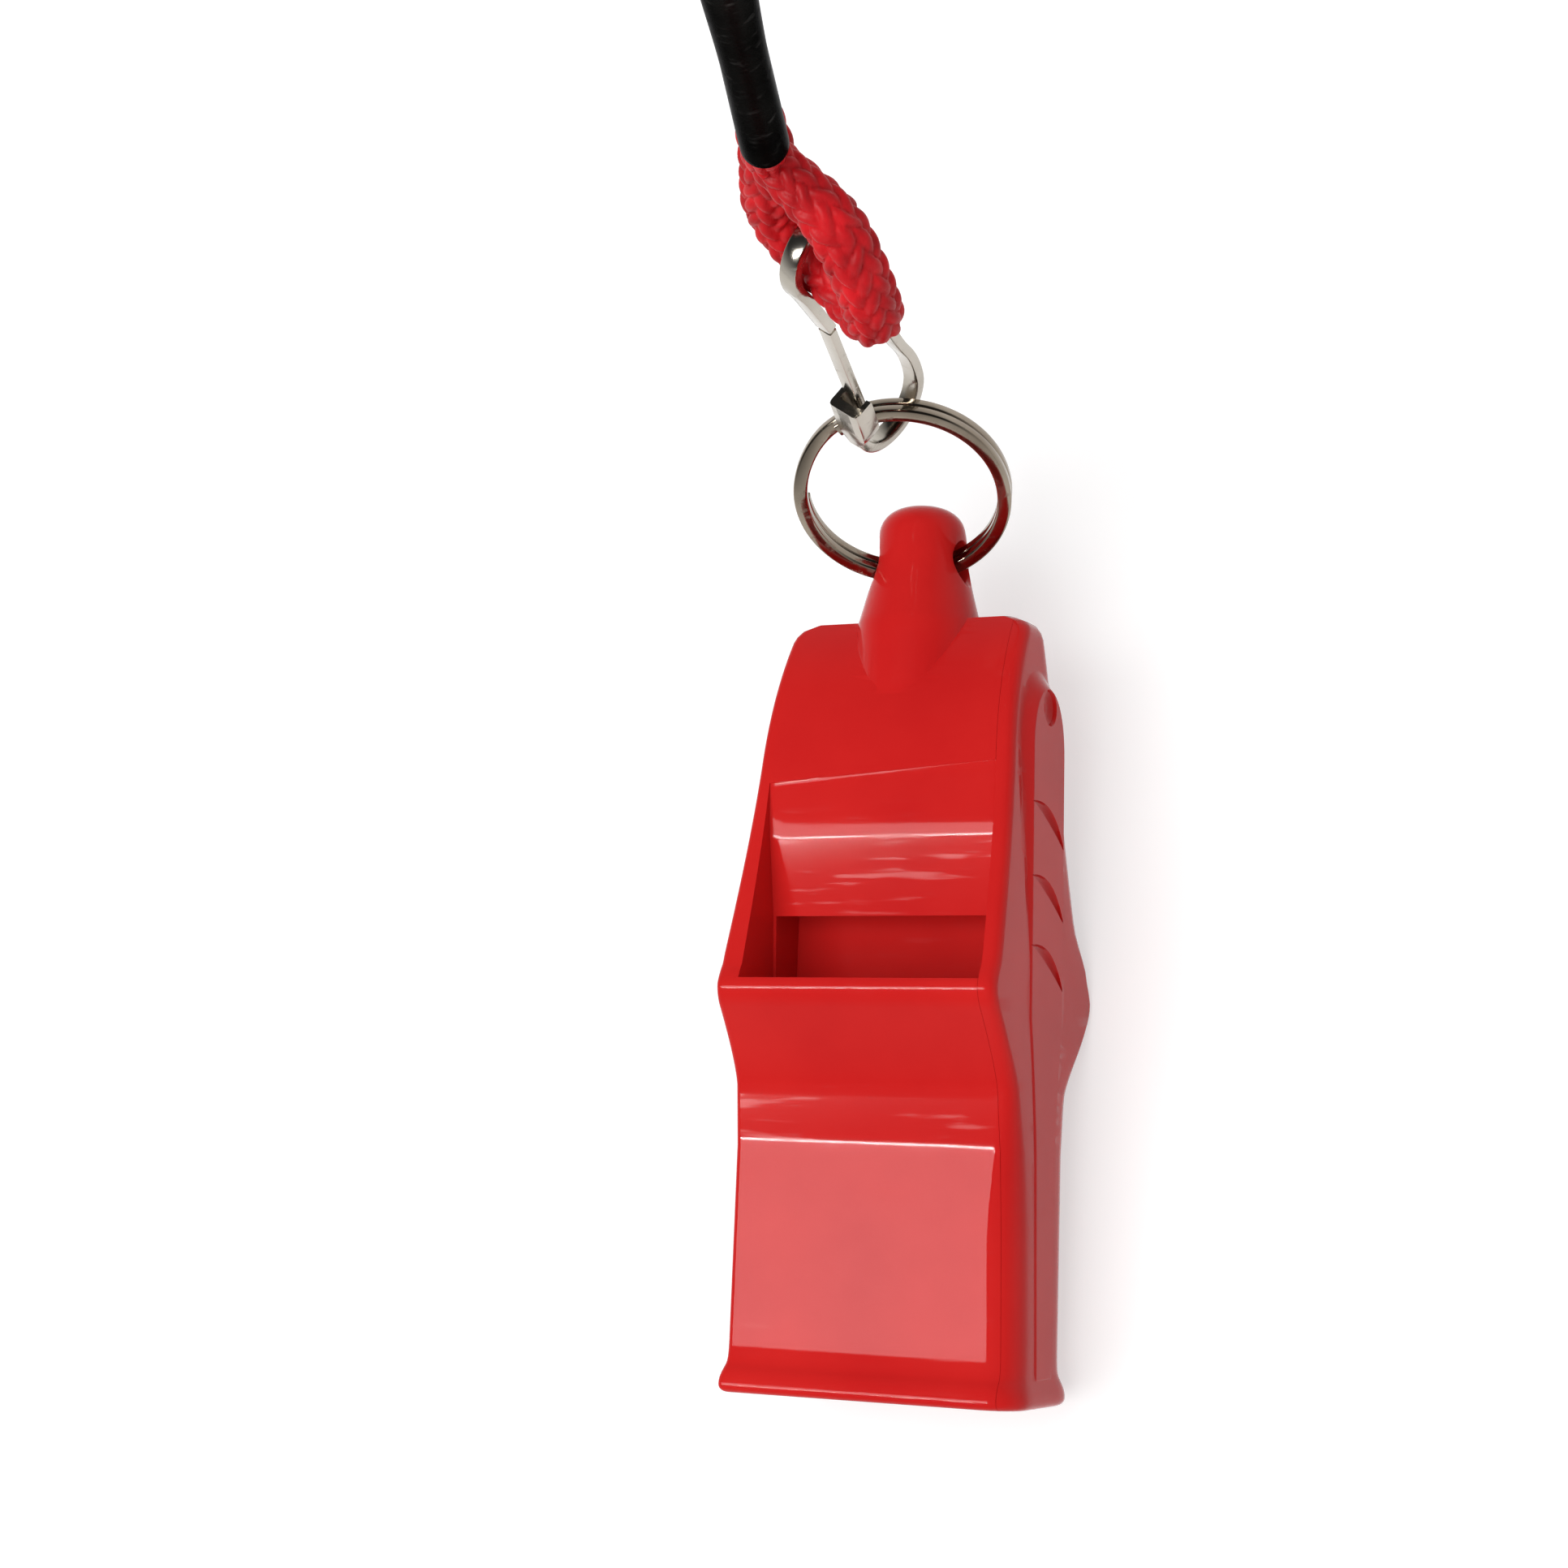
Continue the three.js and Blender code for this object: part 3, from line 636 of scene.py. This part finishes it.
def window_outline(ramp_top, ramp_top_depth):
    far = lip_half_depth + 2
    soft = 0.2
    under = (ramp_half_depth - labium_half_depth) / (ramp_height - labium_height)
    high, deeper = ramp_top - ramp_height, ramp_top_depth - ramp_half_depth
    hollow = 0.126 * high - deeper
    ramp = [(ramp_half_depth + deeper * t + hollow * t * (1 - t), ramp_height + high * t)
            for t in np.linspace(1, soft / high, 10)]
    below = [(ramp_half_depth - under * down, ramp_height - down)
             for down in (soft, 1.5 * soft, 2 * soft, 1.5, 3, ramp_height - labium_height)]
    return [(labium_half_depth - 0.3, lip_height), (far, lip_height), (far, ramp_top + 0.5)] + ramp + [
        (ramp_half_depth - 0.005, ramp_height)] + below


def chamber_outline():
    inner = middle_wall / 2
    return [(inner, lip_height), (labium_half_depth, lip_height), (labium_half_depth, labium_height),
            (ramp_half_depth - barrel_wall, ramp_height),
            (barrel_half_depth - barrel_wall, barrel_shoulder - 1),
            (barrel_half_depth / 2 - barrel_wall / 2, barrel_top - 5.2), (inner, barrel_top - 2.6)]


def windway_outline():
    return [(windway_inner, -1), (windway_inner + windway_gap, -1),
            (windway_inner + windway_gap, crease_height), (windway_exit + windway_gap, lip_height + 0.1),
            (windway_exit, lip_height + 0.1), (windway_inner, crease_height)]


def cut(target, cutters, operation="DIFFERENCE"):
    for cutter in cutters:
        step = target.modifiers.new("cut", "BOOLEAN")
        step.operation = operation
        step.solver = "EXACT"
        step.object = cutter
    bake(target)
    for cutter in cutters:
        bpy.data.objects.remove(cutter, do_unlink=True)


def bake(thing):
    graph = bpy.context.evaluated_depsgraph_get()
    mesh = bpy.data.meshes.new_from_object(thing.evaluated_get(graph))
    thing.modifiers.clear()
    thing.data = mesh


def hollow_cutters(x_right):
    chamber_left = left_wall - half_width(barrel_shoulder)
    cutters = []
    for flip in (False, True):
        side = mirrored if flip else list
        cutters.append(prism("chamber", side(chamber_outline()), side(chamber_outline()),
                             chamber_left, x_right))
        cutters.append(prism("windway", side(windway_outline()), side(windway_outline()),
                             left_wall - waist_half_width, x_right))
        cutters.append(prism("window", side(window_outline(39.2, 5.31)), side(window_outline(40.6, 5.09)),
                             window_left, x_right, steps=20))
    return cutters


# %% [markdown]
# ## Eye, side panels and their marks
# The eye is a round lug that flares where it meets the barrel. The ring passes through its hole aslant,
# so the hole is wide at one end and close round the wire at the other. The raised side panels are stacked
# outlines that shrink as they rise. Each carries a round dimple and three crescents.

# %% Eye and panel pieces
neck_radius, neck_foot, neck_top = 3.0, 4.1, 58.1


def lathe(name, profile, axis, centre, count=48):
    sections = []
    for r, h in profile:
        turn_points = [(r * math.cos(2 * math.pi * k / count), r * math.sin(2 * math.pi * k / count))
                       for k in range(count)]
        if axis == "z":
            sections.append([(centre[0] + a, centre[1] + b, centre[2] + h) for a, b in turn_points])
        else:
            sections.append([(centre[0] + h, centre[1] + a, centre[2] + b) for a, b in turn_points])
    return mesh_object(name, *loft_data(sections))


def neck_piece():
    profile = [(neck_foot - 0.1, 40), (neck_foot, 46), (neck_foot, 49.3), (neck_foot - 0.02, 50)]
    profile += quadratic(profile[-1], (neck_foot - 0.35, 51.2), (neck_radius + 0.35, 52.8), 5)
    profile += quadratic(profile[-1], (neck_radius + 0.08, 53.8), (neck_radius, 55.2), 5)
    profile.append((neck_radius * 0.96, 56.2))
    for k in range(1, 9):
        a = math.pi / 2 * k / 8
        profile.append((max(neck_radius * 0.95 * math.cos(a) ** 0.75, 0.15), 56.2 + 1.88 * math.sin(a)))
    return lathe("neck", profile, "z", (0, 0, 0))


def eye_bore():
    profile = [(2.9, -4.5), (2.9, -3.2), (2.55, -2.6), (2.2, -2), (1.86, -1), (1.62, -0.3), (1.52, 0.3),
               (1.4, 1.2), (1.34, 2), (1.34, 2.7), (1.42, 3), (1.72, 3.4), (2.1, 4), (2.6, 4.5)]
    return lathe("eye_bore", profile, "x", (0, 0, eye_height))


panel_face, panel_taper, panel_height, panel_slope = 9.95, math.radians(0.9), 0.9, 1.6
panel_half, panel_half_mouth, panel_top, panel_bottom = 2.7, 1.2, 45.5, 2.2


def panel_outline(grow):
    half, narrow = panel_half + grow, panel_half_mouth + grow
    shoulder = panel_top - 1.5 * panel_half
    line = [(narrow, panel_bottom - grow * 0.5)]
    line += straight(line[-1], (narrow + 0.4, crease_height), 10)
    line += quadratic(line[-1], (narrow + 0.7, crease_height + 4), (half, lip_height - lip_thickness), 8)
    line += straight(line[-1], (half, shoulder), 10)
    line += cubic(line[-1], (half, shoulder + 2.4), (half * 0.6, panel_top + grow),
                  (0, panel_top + grow), 12)
    other = [(-y, z) for y, z in line[:-1]][::-1]
    return line + other


def panel_piece(sign):
    sections = []
    rise = [(-1.2, 1), (0, 1)] + [(panel_height * (1 - math.cos(t * math.pi / 2)) ** 0.8, 1 - t)
                                  for t in (0.25, 0.5, 0.75)]
    rise += [(panel_height - 0.04, 0.06), (panel_height, 0.0)]
    for height, grow in rise:
        section = []
        for y, z in panel_outline(panel_slope * grow):
            x = panel_face - panel_height - z * math.tan(panel_taper) + height
            section.append((sign * x, y, z))
        sections.append(section)
    return mesh_object("panel", *loft_data(sections))


def crescent_cutter(height, sign):
    length, wide, deep, slope = 6.4, 1.1, 0.45, math.radians(25)
    x = panel_face - height * math.tan(panel_taper)
    sections = []
    for k in range(25):
        t = -1 + 2 * k / 24
        body = max(1 - t * t, 0.0015)
        centre_y, centre_z = t * length / 2, 0.6 * wide * body
        half = 0.42 * wide * body
        section = []
        for a in np.linspace(0, 2 * math.pi, 12, endpoint=False):
            y, z = centre_y, centre_z + half * math.cos(a)
            sink = deep * math.sqrt(body) * math.sin(a)
            section.append((sign * (x + sink), y * math.cos(slope) + z * math.sin(slope),
                            height + z * math.cos(slope) - y * math.sin(slope)))
        sections.append(section)
    return mesh_object("crescent", *loft_data(sections))


def dimple_cutter(sign):
    height, radius, deep = 44.4, 1.2, 0.45
    x = panel_face - height * math.tan(panel_taper)
    profile = [(0.3, -deep), (radius * 0.6, -deep * 0.9), (radius * 0.9, -deep * 0.5), (radius, 0.02),
               (radius * 1.02, 0.5)]
    return lathe("dimple", [(r, sign * h) for r, h in profile], "x", (sign * x, 0, height))


def mark_cutters(sign):
    return [crescent_cutter(height, sign) for height in (36.7, 32, 27.6)] + [dimple_cutter(sign)]


# %% [markdown]
# ## Putting the whistle together
# The body and the side cover are two mouldings, fused along a seam. Both come from the same lofted block,
# so their outlines meet exactly. Each is joined with its own panel and cut. A small bevel on the sharp
# edges that the cuts leave catches the light, as it does on real plastic. The cut at the seam comes last
# and stays crisp.

# %% Body and cover
whistle_turn = Matrix(((1, 0, 0), (0, math.sin(lie), math.cos(lie)), (0, -math.cos(lie), math.sin(lie))))


def to_row(thing):
    for v in thing.data.vertices:
        v.co = row(whistle_turn @ v.co)
    thing.data.update()


def front_corner(z):
    return 0.7 + 1.4 * (1 - ease(z, 10, 24))


def back_corner(z):
    return 2.3 - 1.5 * ease(z, 19, 24) * (1 - ease(z, 27.5, 31))


def moulding(name):
    left_corner = 0.4
    sections = [block_section(-outer_width(z), outer_width(z), deep,
                              left_corner, front_corner(z), back_corner(z), z)
                for deep, z in outline]
    return loft(name, sections)


def soften(thing, width):
    step = thing.modifiers.new("edge", "BEVEL")
    step.width = width
    step.segments = 2
    step.limit_method = "ANGLE"
    step.angle_limit = math.radians(38)
    bake(thing)


def flatten_shading(thing):
    step = thing.modifiers.new("flat", "WEIGHTED_NORMAL")
    step.keep_sharp = True
    bake(thing)


def cover_side(shift):
    far = bite_half_width + 2
    inside = [(half_width(z) - cover_edge + shift, z) for z in (-2, waist_height, neck_top + 1)]
    outline_xz = inside + [(far, neck_top + 1), (far, -2)]
    deep = lip_half_depth + 2
    sections = [[(x, y, z) for x, z in outline_xz] for y in (-deep, deep)]
    return mesh_object("cover_side", *loft_data(sections))


body = moulding("whistle_moulding")
cut(body, [neck_piece(), panel_piece(-1)], "UNION")
cut(body, hollow_cutters(bottom_half_width + 1) + [eye_bore()] + mark_cutters(-1))
soften(body, 0.1)
cut(body, [cover_side(0)])
to_row(body)
finish_mesh(body, 35)
flatten_shading(body)
print("whistle body:", len(body.data.polygons), "faces")

cover = moulding("cover_moulding")
cut(cover, [panel_piece(1)], "UNION")
cut(cover, mark_cutters(1))
soften(cover, 0.08)
cut(cover, [cover_side(seam_line)], "INTERSECT")
to_row(cover)
finish_mesh(cover, 35)
flatten_shading(cover)
print("side cover:", len(cover.data.polygons), "faces")

for piece, node in ((body, "whistle_body"), (cover, "side_cover")):
    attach(piece, "whistle")
    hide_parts(node)


# %% [markdown]
# ## Shared surface effects
# Several materials need fine scratches or a soft mottling. Each effect is a node group with its own
# inputs, made once here. A group hands out only masks and values, and the Principled BSDF stays in each
# material.

# %% Node helpers
def new_group(name, inputs, outputs):
    group = bpy.data.node_groups.new(name, "ShaderNodeTree")
    for label, kind, value in inputs:
        socket = group.interface.new_socket(name=label, in_out="INPUT", socket_type=kind)
        socket.default_value = value
    for label, kind in outputs:
        group.interface.new_socket(name=label, in_out="OUTPUT", socket_type=kind)
    return group, group.nodes.new("NodeGroupInput"), group.nodes.new("NodeGroupOutput")


def add(tree, kind, **settings):
    node = tree.nodes.new(kind)
    for key, value in settings.items():
        setattr(node, key, value)
    return node


def wire(tree, source, target):
    tree.links.new(source, target)


def scratches_group():
    group, given, out = new_group(
        "fine_scratches",
        [("Vector", "NodeSocketVector", (0, 0, 0)), ("Scale", "NodeSocketFloat", 400.0),
         ("Stretch", "NodeSocketFloat", 12.0), ("Amount", "NodeSocketFloat", 0.5)],
        [("Mask", "NodeSocketFloat"), ("Height", "NodeSocketFloat")])
    stretched = add(group, "ShaderNodeVectorMath", operation="MULTIPLY")
    scale = add(group, "ShaderNodeCombineXYZ")
    wire(group, given.outputs["Stretch"], scale.inputs[0])
    scale.inputs[1].default_value = 1.0
    scale.inputs[2].default_value = 1.6
    wire(group, given.outputs["Vector"], stretched.inputs[0])
    wire(group, scale.outputs[0], stretched.inputs[1])
    noise = add(group, "ShaderNodeTexNoise")
    noise.inputs["Detail"].default_value = 3.0
    wire(group, stretched.outputs[0], noise.inputs["Vector"])
    wire(group, given.outputs["Scale"], noise.inputs["Scale"])
    ramp = add(group, "ShaderNodeMapRange")
    ramp.inputs["From Min"].default_value = 0.58
    ramp.inputs["From Max"].default_value = 0.72
    wire(group, noise.outputs["Fac"], ramp.inputs["Value"])
    times = add(group, "ShaderNodeMath", operation="MULTIPLY")
    wire(group, ramp.outputs["Result"], times.inputs[0])
    wire(group, given.outputs["Amount"], times.inputs[1])
    wire(group, times.outputs[0], out.inputs["Mask"])
    wire(group, noise.outputs["Fac"], out.inputs["Height"])
    return group


def mottle_group():
    group, given, out = new_group(
        "soft_mottle",
        [("Vector", "NodeSocketVector", (0, 0, 0)), ("Scale", "NodeSocketFloat", 60.0),
         ("Low", "NodeSocketFloat", 0.0), ("High", "NodeSocketFloat", 1.0)],
        [("Value", "NodeSocketFloat")])
    noise = add(group, "ShaderNodeTexNoise")
    noise.inputs["Detail"].default_value = 4.0
    wire(group, given.outputs["Vector"], noise.inputs["Vector"])
    wire(group, given.outputs["Scale"], noise.inputs["Scale"])
    ramp = add(group, "ShaderNodeMapRange")
    ramp.inputs["From Min"].default_value = 0.3
    ramp.inputs["From Max"].default_value = 0.7
    wire(group, noise.outputs["Fac"], ramp.inputs["Value"])
    wire(group, given.outputs["Low"], ramp.inputs["To Min"])
    wire(group, given.outputs["High"], ramp.inputs["To Max"])
    wire(group, ramp.outputs["Result"], out.inputs["Value"])
    return group


scratches = scratches_group()
mottle = mottle_group()
print("node groups:", scratches.name, mottle.name)


# %% Material helper
def new_material(name, **plain):
    look = bpy.data.materials.new(name)
    look.use_nodes = True
    tree = look.node_tree
    shader = tree.nodes["Principled BSDF"]
    for socket, value in plain.items():
        shader.inputs[socket.replace("_", " ")].default_value = value
    place = add(tree, "ShaderNodeTexCoord").outputs["Object"]
    return look, tree, shader, place


def use_group(tree, group, place, **values):
    node = add(tree, "ShaderNodeGroup", node_tree=group)
    wire(tree, place, node.inputs["Vector"])
    for label, value in values.items():
        node.inputs[label].default_value = value
    return node


def blend_colours(tree, factor, first, second):
    mix = add(tree, "ShaderNodeMix", data_type="RGBA")
    wire(tree, factor, mix.inputs["Factor"])
    mix.inputs["A"].default_value = first
    mix.inputs["B"].default_value = second
    return mix.outputs["Result"]


def bump(tree, shader, height, strength, distance):
    node = add(tree, "ShaderNodeBump")
    node.inputs["Strength"].default_value = strength
    node.inputs["Distance"].default_value = distance
    wire(tree, height, node.inputs["Height"])
    wire(tree, node.outputs["Normal"], shader.inputs["Normal"])


def dress(look, *things):
    for thing in things:
        thing.data.materials.clear()
        thing.data.materials.append(look)


# %% [markdown]
# ## Red plastic
# The whistle is glossy moulded plastic. Its colour is almost even, a little deeper in places, and its
# gloss is broken by fine scuffs, which show only in reflections. So the scuffs go to roughness and to a
# very small bump.

# %% Red plastic
def red_plastic():
    plain_gloss = 0.06
    look, tree, shader, place = new_material("red_plastic")
    shader.inputs["Specular IOR Level"].default_value = 0.1
    tone = use_group(tree, mottle, place, Scale=90.0)
    colour = blend_colours(tree, tone.outputs["Value"], (0.6, 0.014, 0.014, 1), (0.68, 0.02, 0.018, 1))
    wire(tree, colour, shader.inputs["Base Color"])
    marks = use_group(tree, scratches, place, Scale=1800.0, Stretch=0.12, Amount=0.1)
    gloss = add(tree, "ShaderNodeMath", operation="ADD")
    wire(tree, marks.outputs["Mask"], gloss.inputs[0])
    gloss.inputs[1].default_value = plain_gloss
    wire(tree, gloss.outputs[0], shader.inputs["Roughness"])
    bump(tree, shader, marks.outputs["Height"], 0.04, 0.00002)
    return look


dress(red_plastic(), body, cover)
print("red plastic on body and cover")


# %% [markdown]
# ## Metals
# The hook is nickel-plated strip with a drawn grain along it. The ring is polished wire. All are fully
# metallic, so their look is mostly what they reflect. The sleeve has a dark coat, seen almost along its
# length. Its dark tint keeps that slanting reflection low, so it turns pale only at its very edges.

# %% Metals
def metal(name, dark, pale, rough, grain_scale, stretch, strength):
    look, tree, shader, place = new_material(name, Metallic=1.0)
    tone = use_group(tree, mottle, place, Scale=150.0)
    wire(tree, blend_colours(tree, tone.outputs["Value"], dark, pale), shader.inputs["Base Color"])
    marks = use_group(tree, scratches, place, Scale=grain_scale, Stretch=stretch, Amount=0.2)
    gloss = add(tree, "ShaderNodeMath", operation="ADD")
    wire(tree, marks.outputs["Mask"], gloss.inputs[0])
    gloss.inputs[1].default_value = rough
    wire(tree, gloss.outputs[0], shader.inputs["Roughness"])
    bump(tree, shader, marks.outputs["Height"], strength, 0.00002)
    return look


nickel = metal("nickel_strip", (0.36, 0.33, 0.28, 1), (0.56, 0.52, 0.46, 1), 0.16, 1500.0, 0.3, 0.2)
wire_steel = metal("ring_steel", (0.2, 0.16, 0.12, 1), (0.36, 0.31, 0.25, 1), 0.1, 1500.0, 1.0, 0.1)
gunmetal = metal("dark_sleeve", (0.05, 0.05, 0.049, 1), (0.1, 0.098, 0.094, 1), 0.3, 900.0, 1.0, 0.0)
gunmetal.node_tree.nodes["Principled BSDF"].inputs["Specular Tint"].default_value = (0.1, 0.1, 0.1, 1)
dress(nickel, hook_strip, hook_trough, hook_gate)
dress(wire_steel, split_ring)
dress(gunmetal, sleeve)
print("metals on hook, ring and sleeve")


# %% [markdown]
# ## Braid material
# Polyester yarn is soft and a little shiny. The relief already makes the plaits, so the material adds
# only the fine fibres in each yarn and a deeper red where the mottling is low.

# %% Red braid
def red_braid():
    look, tree, shader, place = new_material("red_braid", Roughness=0.5)
    shader.inputs["Specular IOR Level"].default_value = 0.25
    tone = use_group(tree, mottle, place, Scale=500.0)
    colour = blend_colours(tree, tone.outputs["Value"], (0.42, 0.002, 0.006, 1), (0.78, 0.008, 0.014, 1))
    wire(tree, colour, shader.inputs["Base Color"])
    fibres = use_group(tree, scratches, place, Scale=2600.0, Stretch=1.0, Amount=0.5)
    bump(tree, shader, fibres.outputs["Height"], 0.5, 0.00005)
    return look


dress(red_braid(), cord_eye, held_cord)
print("braid on both cords")


# %% [markdown]
# ## Floor and light
# The whistle rests on its back lips on a white table. The floor is a wide pale sheet. Rays from the
# camera and reflected rays see it lifted to white, and it keeps the object's shadow. The object is lit by
# a plain even world and one large soft lamp. Reflections see a room instead: bright near the horizon and
# dark overhead, which gives the metals both bright and dark parts, and leaves the plastic its full red.
# Two more lamps stand for a window. They show only in reflections, where they make the glare on the flat
# of the mouthpiece.

# %% Floor
floor_reach, floor_grey, floor_lift = 1.2, 0.6, 0.55
table_level = row(whistle_turn @ Vector((0, lip_half_depth, lip_height - 0.4))).z


def any_ray(tree, *kinds):
    path = add(tree, "ShaderNodeLightPath")
    seen = path.outputs[kinds[0]]
    for kind in kinds[1:]:
        either = add(tree, "ShaderNodeMath", operation="MAXIMUM")
        wire(tree, seen, either.inputs[0])
        wire(tree, path.outputs[kind], either.inputs[1])
        seen = either.outputs[0]
    return seen


def floor_material():
    look, tree, shader, place = new_material("floor", Roughness=0.9)
    shader.inputs["Base Color"].default_value = (floor_grey, floor_grey, floor_grey, 1)
    shader.inputs["Specular IOR Level"].default_value = 0.1
    glow = add(tree, "ShaderNodeMath", operation="MULTIPLY")
    wire(tree, any_ray(tree, "Is Camera Ray", "Is Glossy Ray", "Is Transmission Ray"), glow.inputs[0])
    glow.inputs[1].default_value = floor_lift
    shader.inputs["Emission Color"].default_value = (1, 1, 1, 1)
    wire(tree, glow.outputs[0], shader.inputs["Emission Strength"])
    return look


def floor_piece():
    corners = [(x * floor_reach, y * floor_reach, table_level)
               for x, y in ((-1, -1), (1, -1), (1, 1), (-1, 1))]
    floor = mesh_object("floor", corners, [(0, 1, 2, 3)])
    dress(floor_material(), floor)


floor_piece()
print("table level in the row frame:", round(table_level, 5), "m")


# %% World and lamps
world_strength, horizon_grey, overhead_grey = 0.4, 0.9, 0.03


def world_light():
    world = bpy.data.worlds.new("studio")
    bpy.context.scene.world = world
    world.use_nodes = True
    tree = world.node_tree
    plain = tree.nodes["Background"]
    plain.inputs["Color"].default_value = (1, 1, 1, 1)
    plain.inputs["Strength"].default_value = world_strength
    room = add(tree, "ShaderNodeBackground")
    place = add(tree, "ShaderNodeTexCoord")
    split = add(tree, "ShaderNodeSeparateXYZ")
    wire(tree, place.outputs["Generated"], split.inputs[0])
    ramp = add(tree, "ShaderNodeValToRGB")
    ramp.color_ramp.elements[0].position = 0.05
    ramp.color_ramp.elements[0].color = (horizon_grey, horizon_grey, horizon_grey, 1)
    ramp.color_ramp.elements[1].position = 0.6
    ramp.color_ramp.elements[1].color = (overhead_grey, overhead_grey, overhead_grey, 1)
    wire(tree, split.outputs[2], ramp.inputs[0])
    wire(tree, ramp.outputs[0], room.inputs["Color"])
    mix = add(tree, "ShaderNodeMixShader")
    wire(tree, any_ray(tree, "Is Glossy Ray", "Is Transmission Ray"), mix.inputs[0])
    wire(tree, plain.outputs[0], mix.inputs[1])
    wire(tree, room.outputs[0], mix.inputs[2])
    wire(tree, mix.outputs[0], tree.nodes["World Output"].inputs["Surface"])


def panel_lamp(name, way, distance, wide, high, power, in_reflections):
    lamp = bpy.data.objects.new(name, bpy.data.lights.new(name, "AREA"))
    lamp.data.shape = "RECTANGLE"
    lamp.data.size, lamp.data.size_y = wide, high
    lamp.data.energy = power
    lamp.location = mouth_face + way * distance
    across = Vector((0, 1, 0)).cross(way).normalized()
    lamp.rotation_euler = Matrix((across, way.cross(across), way)).transposed().to_euler()
    lamp.visible_glossy = in_reflections
    lamp.visible_diffuse = not in_reflections
    bpy.context.collection.objects.link(lamp)


world_light()
mouth_face = row(whistle_turn @ Vector((0, -mouth_half_depth, 8)))
panel_lamp("soft_key", unit(-0.1, -0.2, 0.97), distance=0.6, wide=0.5, high=0.5,
           power=2.7, in_reflections=False)
panel_lamp("window_light", unit(-0.398, -0.166, 0.902), distance=0.5, wide=0.24, high=0.072,
           power=0.7, in_reflections=True)
panel_lamp("window_edge", unit(-0.398, -0.242, 0.885), distance=0.5, wide=0.24, high=0.008,
           power=0.9, in_reflections=True)
print("lamps placed")
